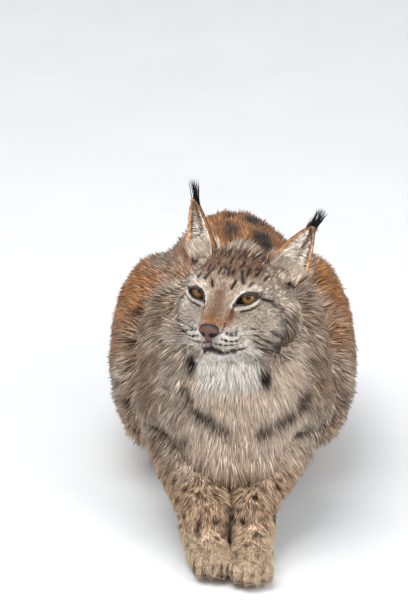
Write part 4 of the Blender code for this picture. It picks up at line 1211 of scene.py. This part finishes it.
for word, side in (("left", 1), ("right", -1)):
    centre = np.array((side * EYE_SPACING / 2, 0, 0))
    aim = unit(np.array(EYE_AIM) - (side * EYES_TURN_IN, 0, 0))
    right_of = unit(np.cross((0, 0, 1.0), aim))
    angle, turn = np.meshgrid(np.linspace(0.3, 179.7, BALL_RINGS),
                              np.linspace(0, 2 * math.pi, BALL_TURNS + 1), indexing="ij")
    radius = EYE_RADIUS - 0.02 + 0.07 * np.clip(1 - (angle / IRIS_EDGE) ** 2, 0, 1)
    radius = (radius - 0.03 * step_up(angle, IRIS_EDGE - 6, IRIS_EDGE + 8))[..., None]
    ring = np.cos(turn)[..., None] * right_of + np.sin(turn)[..., None] * np.cross(aim, right_of)
    shape = np.cos(np.radians(angle))[..., None] * aim + np.sin(np.radians(angle))[..., None] * ring
    eyeball = make_piece("eyeball_" + word, from_head(centre + shape * radius).reshape(-1, 3),
                         grid_faces(BALL_RINGS, BALL_TURNS + 1, around=False), amber)
    loops = np.empty(len(eyeball.data.loops), np.int32)
    eyeball.data.loops.foreach_get("vertex_index", loops)
    flat = vectors(turn / (2 * math.pi), angle / 90).reshape(-1, 2)
    polar_map = eyeball.data.uv_layers.new(name="polar")
    polar_map.uv.foreach_set("vector", flat[loops].astype(np.float32).ravel())
    close_poles(eyeball)
    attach(eyeball, "root")
    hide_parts("eye_" + word)

    turn = np.linspace(0, 2 * math.pi, RIM_POINTS)
    share, over = np.cos(turn), np.sin(turn) > 0
    above = np.where(over, *lid_heights(share))
    slant = math.radians(EYE_SLANT)
    reach = (share + 1) * EYE_HALF[side]
    x = centre[0] + side * (INNER_CORNER[0] + reach * math.cos(slant) - above * math.sin(slant))
    aimed = vectors(x, -1.2, INNER_CORNER[1] + reach * math.sin(slant) + above * math.cos(slant))
    guess = aimed
    for _ in range(6):
        rim = on_head(guess - HEAD_MIDDLE, 0.05)
        guess = guess + (aimed - rim) * (1, 0, 1)
    rim[-1] = rim[0]
    radii = np.where(over, 0.075, 0.05) + 0.04 * np.exp(-((share + 0.95) / 0.25) ** 2)
    radii = radii + 0.03 * np.exp(-((share - 0.5) / 0.4) ** 2) * over
    lid = make_piece("lid_rim_" + word, *tube(from_head(rim), radii), wet_rim)
    close_poles(lid)
    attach(lid, "root")

# Nose. The bare leather of the nose: two lobes over a narrow foot, pinkish brown with a dark upper edge,
# fine pebbles, and a comma-shaped nostril on each side. The nostrils and the leather round them are
# painted dark as their shade.
NOSE_MIDDLE = np.array((0, -4.7, -3.3))
NOSE_REACH, NOSE_STEP, NOSE_RINGS, NOSE_TURNS = 2.2, 0.02, 90, 120
leather, tree, shader, pebbles = new_material("nose_leather", 0.6, 0.0, "Voronoi", Roughness=0.5,
                                              Coat_Weight=0.1, Coat_Roughness=0.3)
pits = show_marking(tree, shader, pebbles, From_Max=0.6, To_Min=1.1, To_Max=0.72)
add_node(tree, "ShaderNodeBump", {"Strength": 0.6, "Distance": 0.0005}, {"Height": pits},
         ("Normal", shader.inputs["Normal"]))


def nostril_distance(points):
    """How far points lie outside the nostrils, which run back and out to the side."""
    half = folded(points)
    return melted(0.06, [limb_distance(half, (0.44, -6.2, -3.42), 0.28, (0.66, -5.2, -3.42), 0.24),
                         limb_distance(half, (0.7, -5.3, -3.55), 0.14, (1.25, -4.9, -3.6), 0.08)])


def nose_distance(points):
    """How far points lie outside the nose: two lobes, middle and foot melted, less nostrils and cleft."""
    half = folded(points)
    pad = melted(0.12, [ball_distance(half, (0.56, -5.0, -3.0), (0.64, 0.75, 0.68)),
                        ball_distance(half, (0, -5.1, -3.1), (0.85, 0.72, 0.85)),
                        ball_distance(half, (0, -4.95, -3.95), (0.38, 0.6, 0.62))])
    cleft = limb_distance(half, (0, -5.95, -3.4), 0.06, (0, -5.7, -4.6), 0.08)
    return np.maximum(pad, -np.minimum(nostril_distance(points), cleft))


angle, turn = np.meshgrid(np.radians(np.linspace(0.5, 179.5, NOSE_RINGS)),
                          np.linspace(0, 2 * math.pi, NOSE_TURNS, endpoint=False), indexing="ij")
rays = ray(angle, turn).reshape(-1, 3)
reached = np.zeros(len(rays))
going = np.ones(len(rays), bool)
for distance in np.arange(NOSE_STEP, NOSE_REACH, NOSE_STEP):
    going &= nose_distance(NOSE_MIDDLE + rays * distance) < 0
    reached[going] = distance
inside = NOSE_MIDDLE + rays * reached[:, None]
nose = make_piece("nose_pad", from_head(inside), grid_faces(NOSE_RINGS, NOSE_TURNS), leather)
# The leather is darker at its upper edge, its sides and its foot, and round the nostrils it is darkened as
# painted shade.
flesh, edge = np.array(colour("6b3d2f")[:3]), np.array(colour("241a17")[:3])
off, high, gap = abs(inside[:, 0]), inside[:, 2], nostril_distance(inside)
darker = np.max([step_up(high, -2.85, -2.5), step_up(off, 0.95, 1.3), step_up(-high, 3.9, 4.3),
                 1 - step_up(gap, 0.03, 0.16)], axis=0)[:, None]
shade = flesh * (0.85 + 0.3 * noise(inside, 0.35))[:, None] * (1 - darker) + edge * darker
# Painted shade: inside each nostril the leather is painted nearly black.
paint_points(nose, shade * (0.07 + 0.93 * step_up(gap, 0.0, 0.07))[:, None])
close_poles(nose)
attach(nose, "root")
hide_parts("nose")

# Lips. Two dark, soft rolls of bare skin that meet along the mouth and run up to its corners.
LIP_POINTS, LIP_SINK = 121, 0.15
lip_skin, tree, shader, wrinkles = new_material("lip_skin", 0.3, Roughness=0.5, Base_Color=colour("1b110d"))
add_node(tree, "ShaderNodeBump", {"Strength": 0.5, "Distance": 0.0005}, {"Height": wrinkles},
         ("Normal", shader.inputs["Normal"]))


def from_chart(a, b):
    """The ray from the middle of the head through a place on its chart."""
    return ray(np.radians(np.hypot(a, b)), np.arctan2(a, b))


half = np.array(MOUTH_LINE)
line = np.concatenate([half[::-1] * (-1, 1), half[1:]])
share = np.linspace(0, len(line) - 1, LIP_POINTS)
a, b = (np.interp(share, np.arange(len(line)), line[:, i]) for i in (0, 1))
smooth = np.exp(-np.linspace(-2, 2, 13) ** 2)
b = np.convolve(np.pad(b, 6, mode="edge"), smooth / smooth.sum(), mode="valid")
taper = 0.35 + 0.65 * np.sin(np.linspace(0, math.pi, LIP_POINTS)) ** 0.5
rolls = [tube(from_head(on_head(from_chart(a, b + shift), LIP_SINK)), radius * taper)
         for shift, radius in ((0.9, 0.1), (-1.1, 0.12))]
lips = make_piece("lips", *joined(rolls), lip_skin)
close_poles(lips)
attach(lips, "root")

# Whiskers. Stiff white bristles in three rows on each side of the muzzle and three over each eye, each
# tapered from its root in a dark spot and bowed back by its own weight.
WHISKER_LENGTH, WHISKER_ROOT = 6.5, 0.014
BROW_PLACES = ((27, 42), (33, 45), (39, 47))
bristle, _, _, _ = new_material("whisker_bristle", Roughness=0.35, Base_Color=colour("efe9df"))
draws = np.random.default_rng(41)
bristles = []
for side in (1, -1):
    muzzle = [(*(np.array(row[0]) * (1 - share) + np.array(row[-1]) * share), 1, -0.1) for row in WHISKER_ROWS
              for share in (0.25, 0.5, 0.75, 1.0)]
    for a, b, size, up in muzzle + [(*place, 0.5, 0.7) for place in BROW_PLACES]:
        root = on_head(from_chart(np.array([side * a]), b), 0.1)
        way = unit(outward_of(root) * 0.75 + (side * 0.75, 0.1, up) + draws.normal(0, 0.08, 3))
        length = WHISKER_LENGTH * draws.uniform(0.55, 1.0) * size
        share = np.linspace(0, 1, 12)[:, None]
        path = root + way * length * share + np.array((side * 0.05, 0.28, -0.12)) * length * share**2
        bristles.append(tube(from_head(path), WHISKER_ROOT * (1.02 - share[:, 0]), 5))
whiskers = make_piece("whiskers", *joined(bristles), bristle)
close_poles(whiskers)
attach(whiskers, "root")
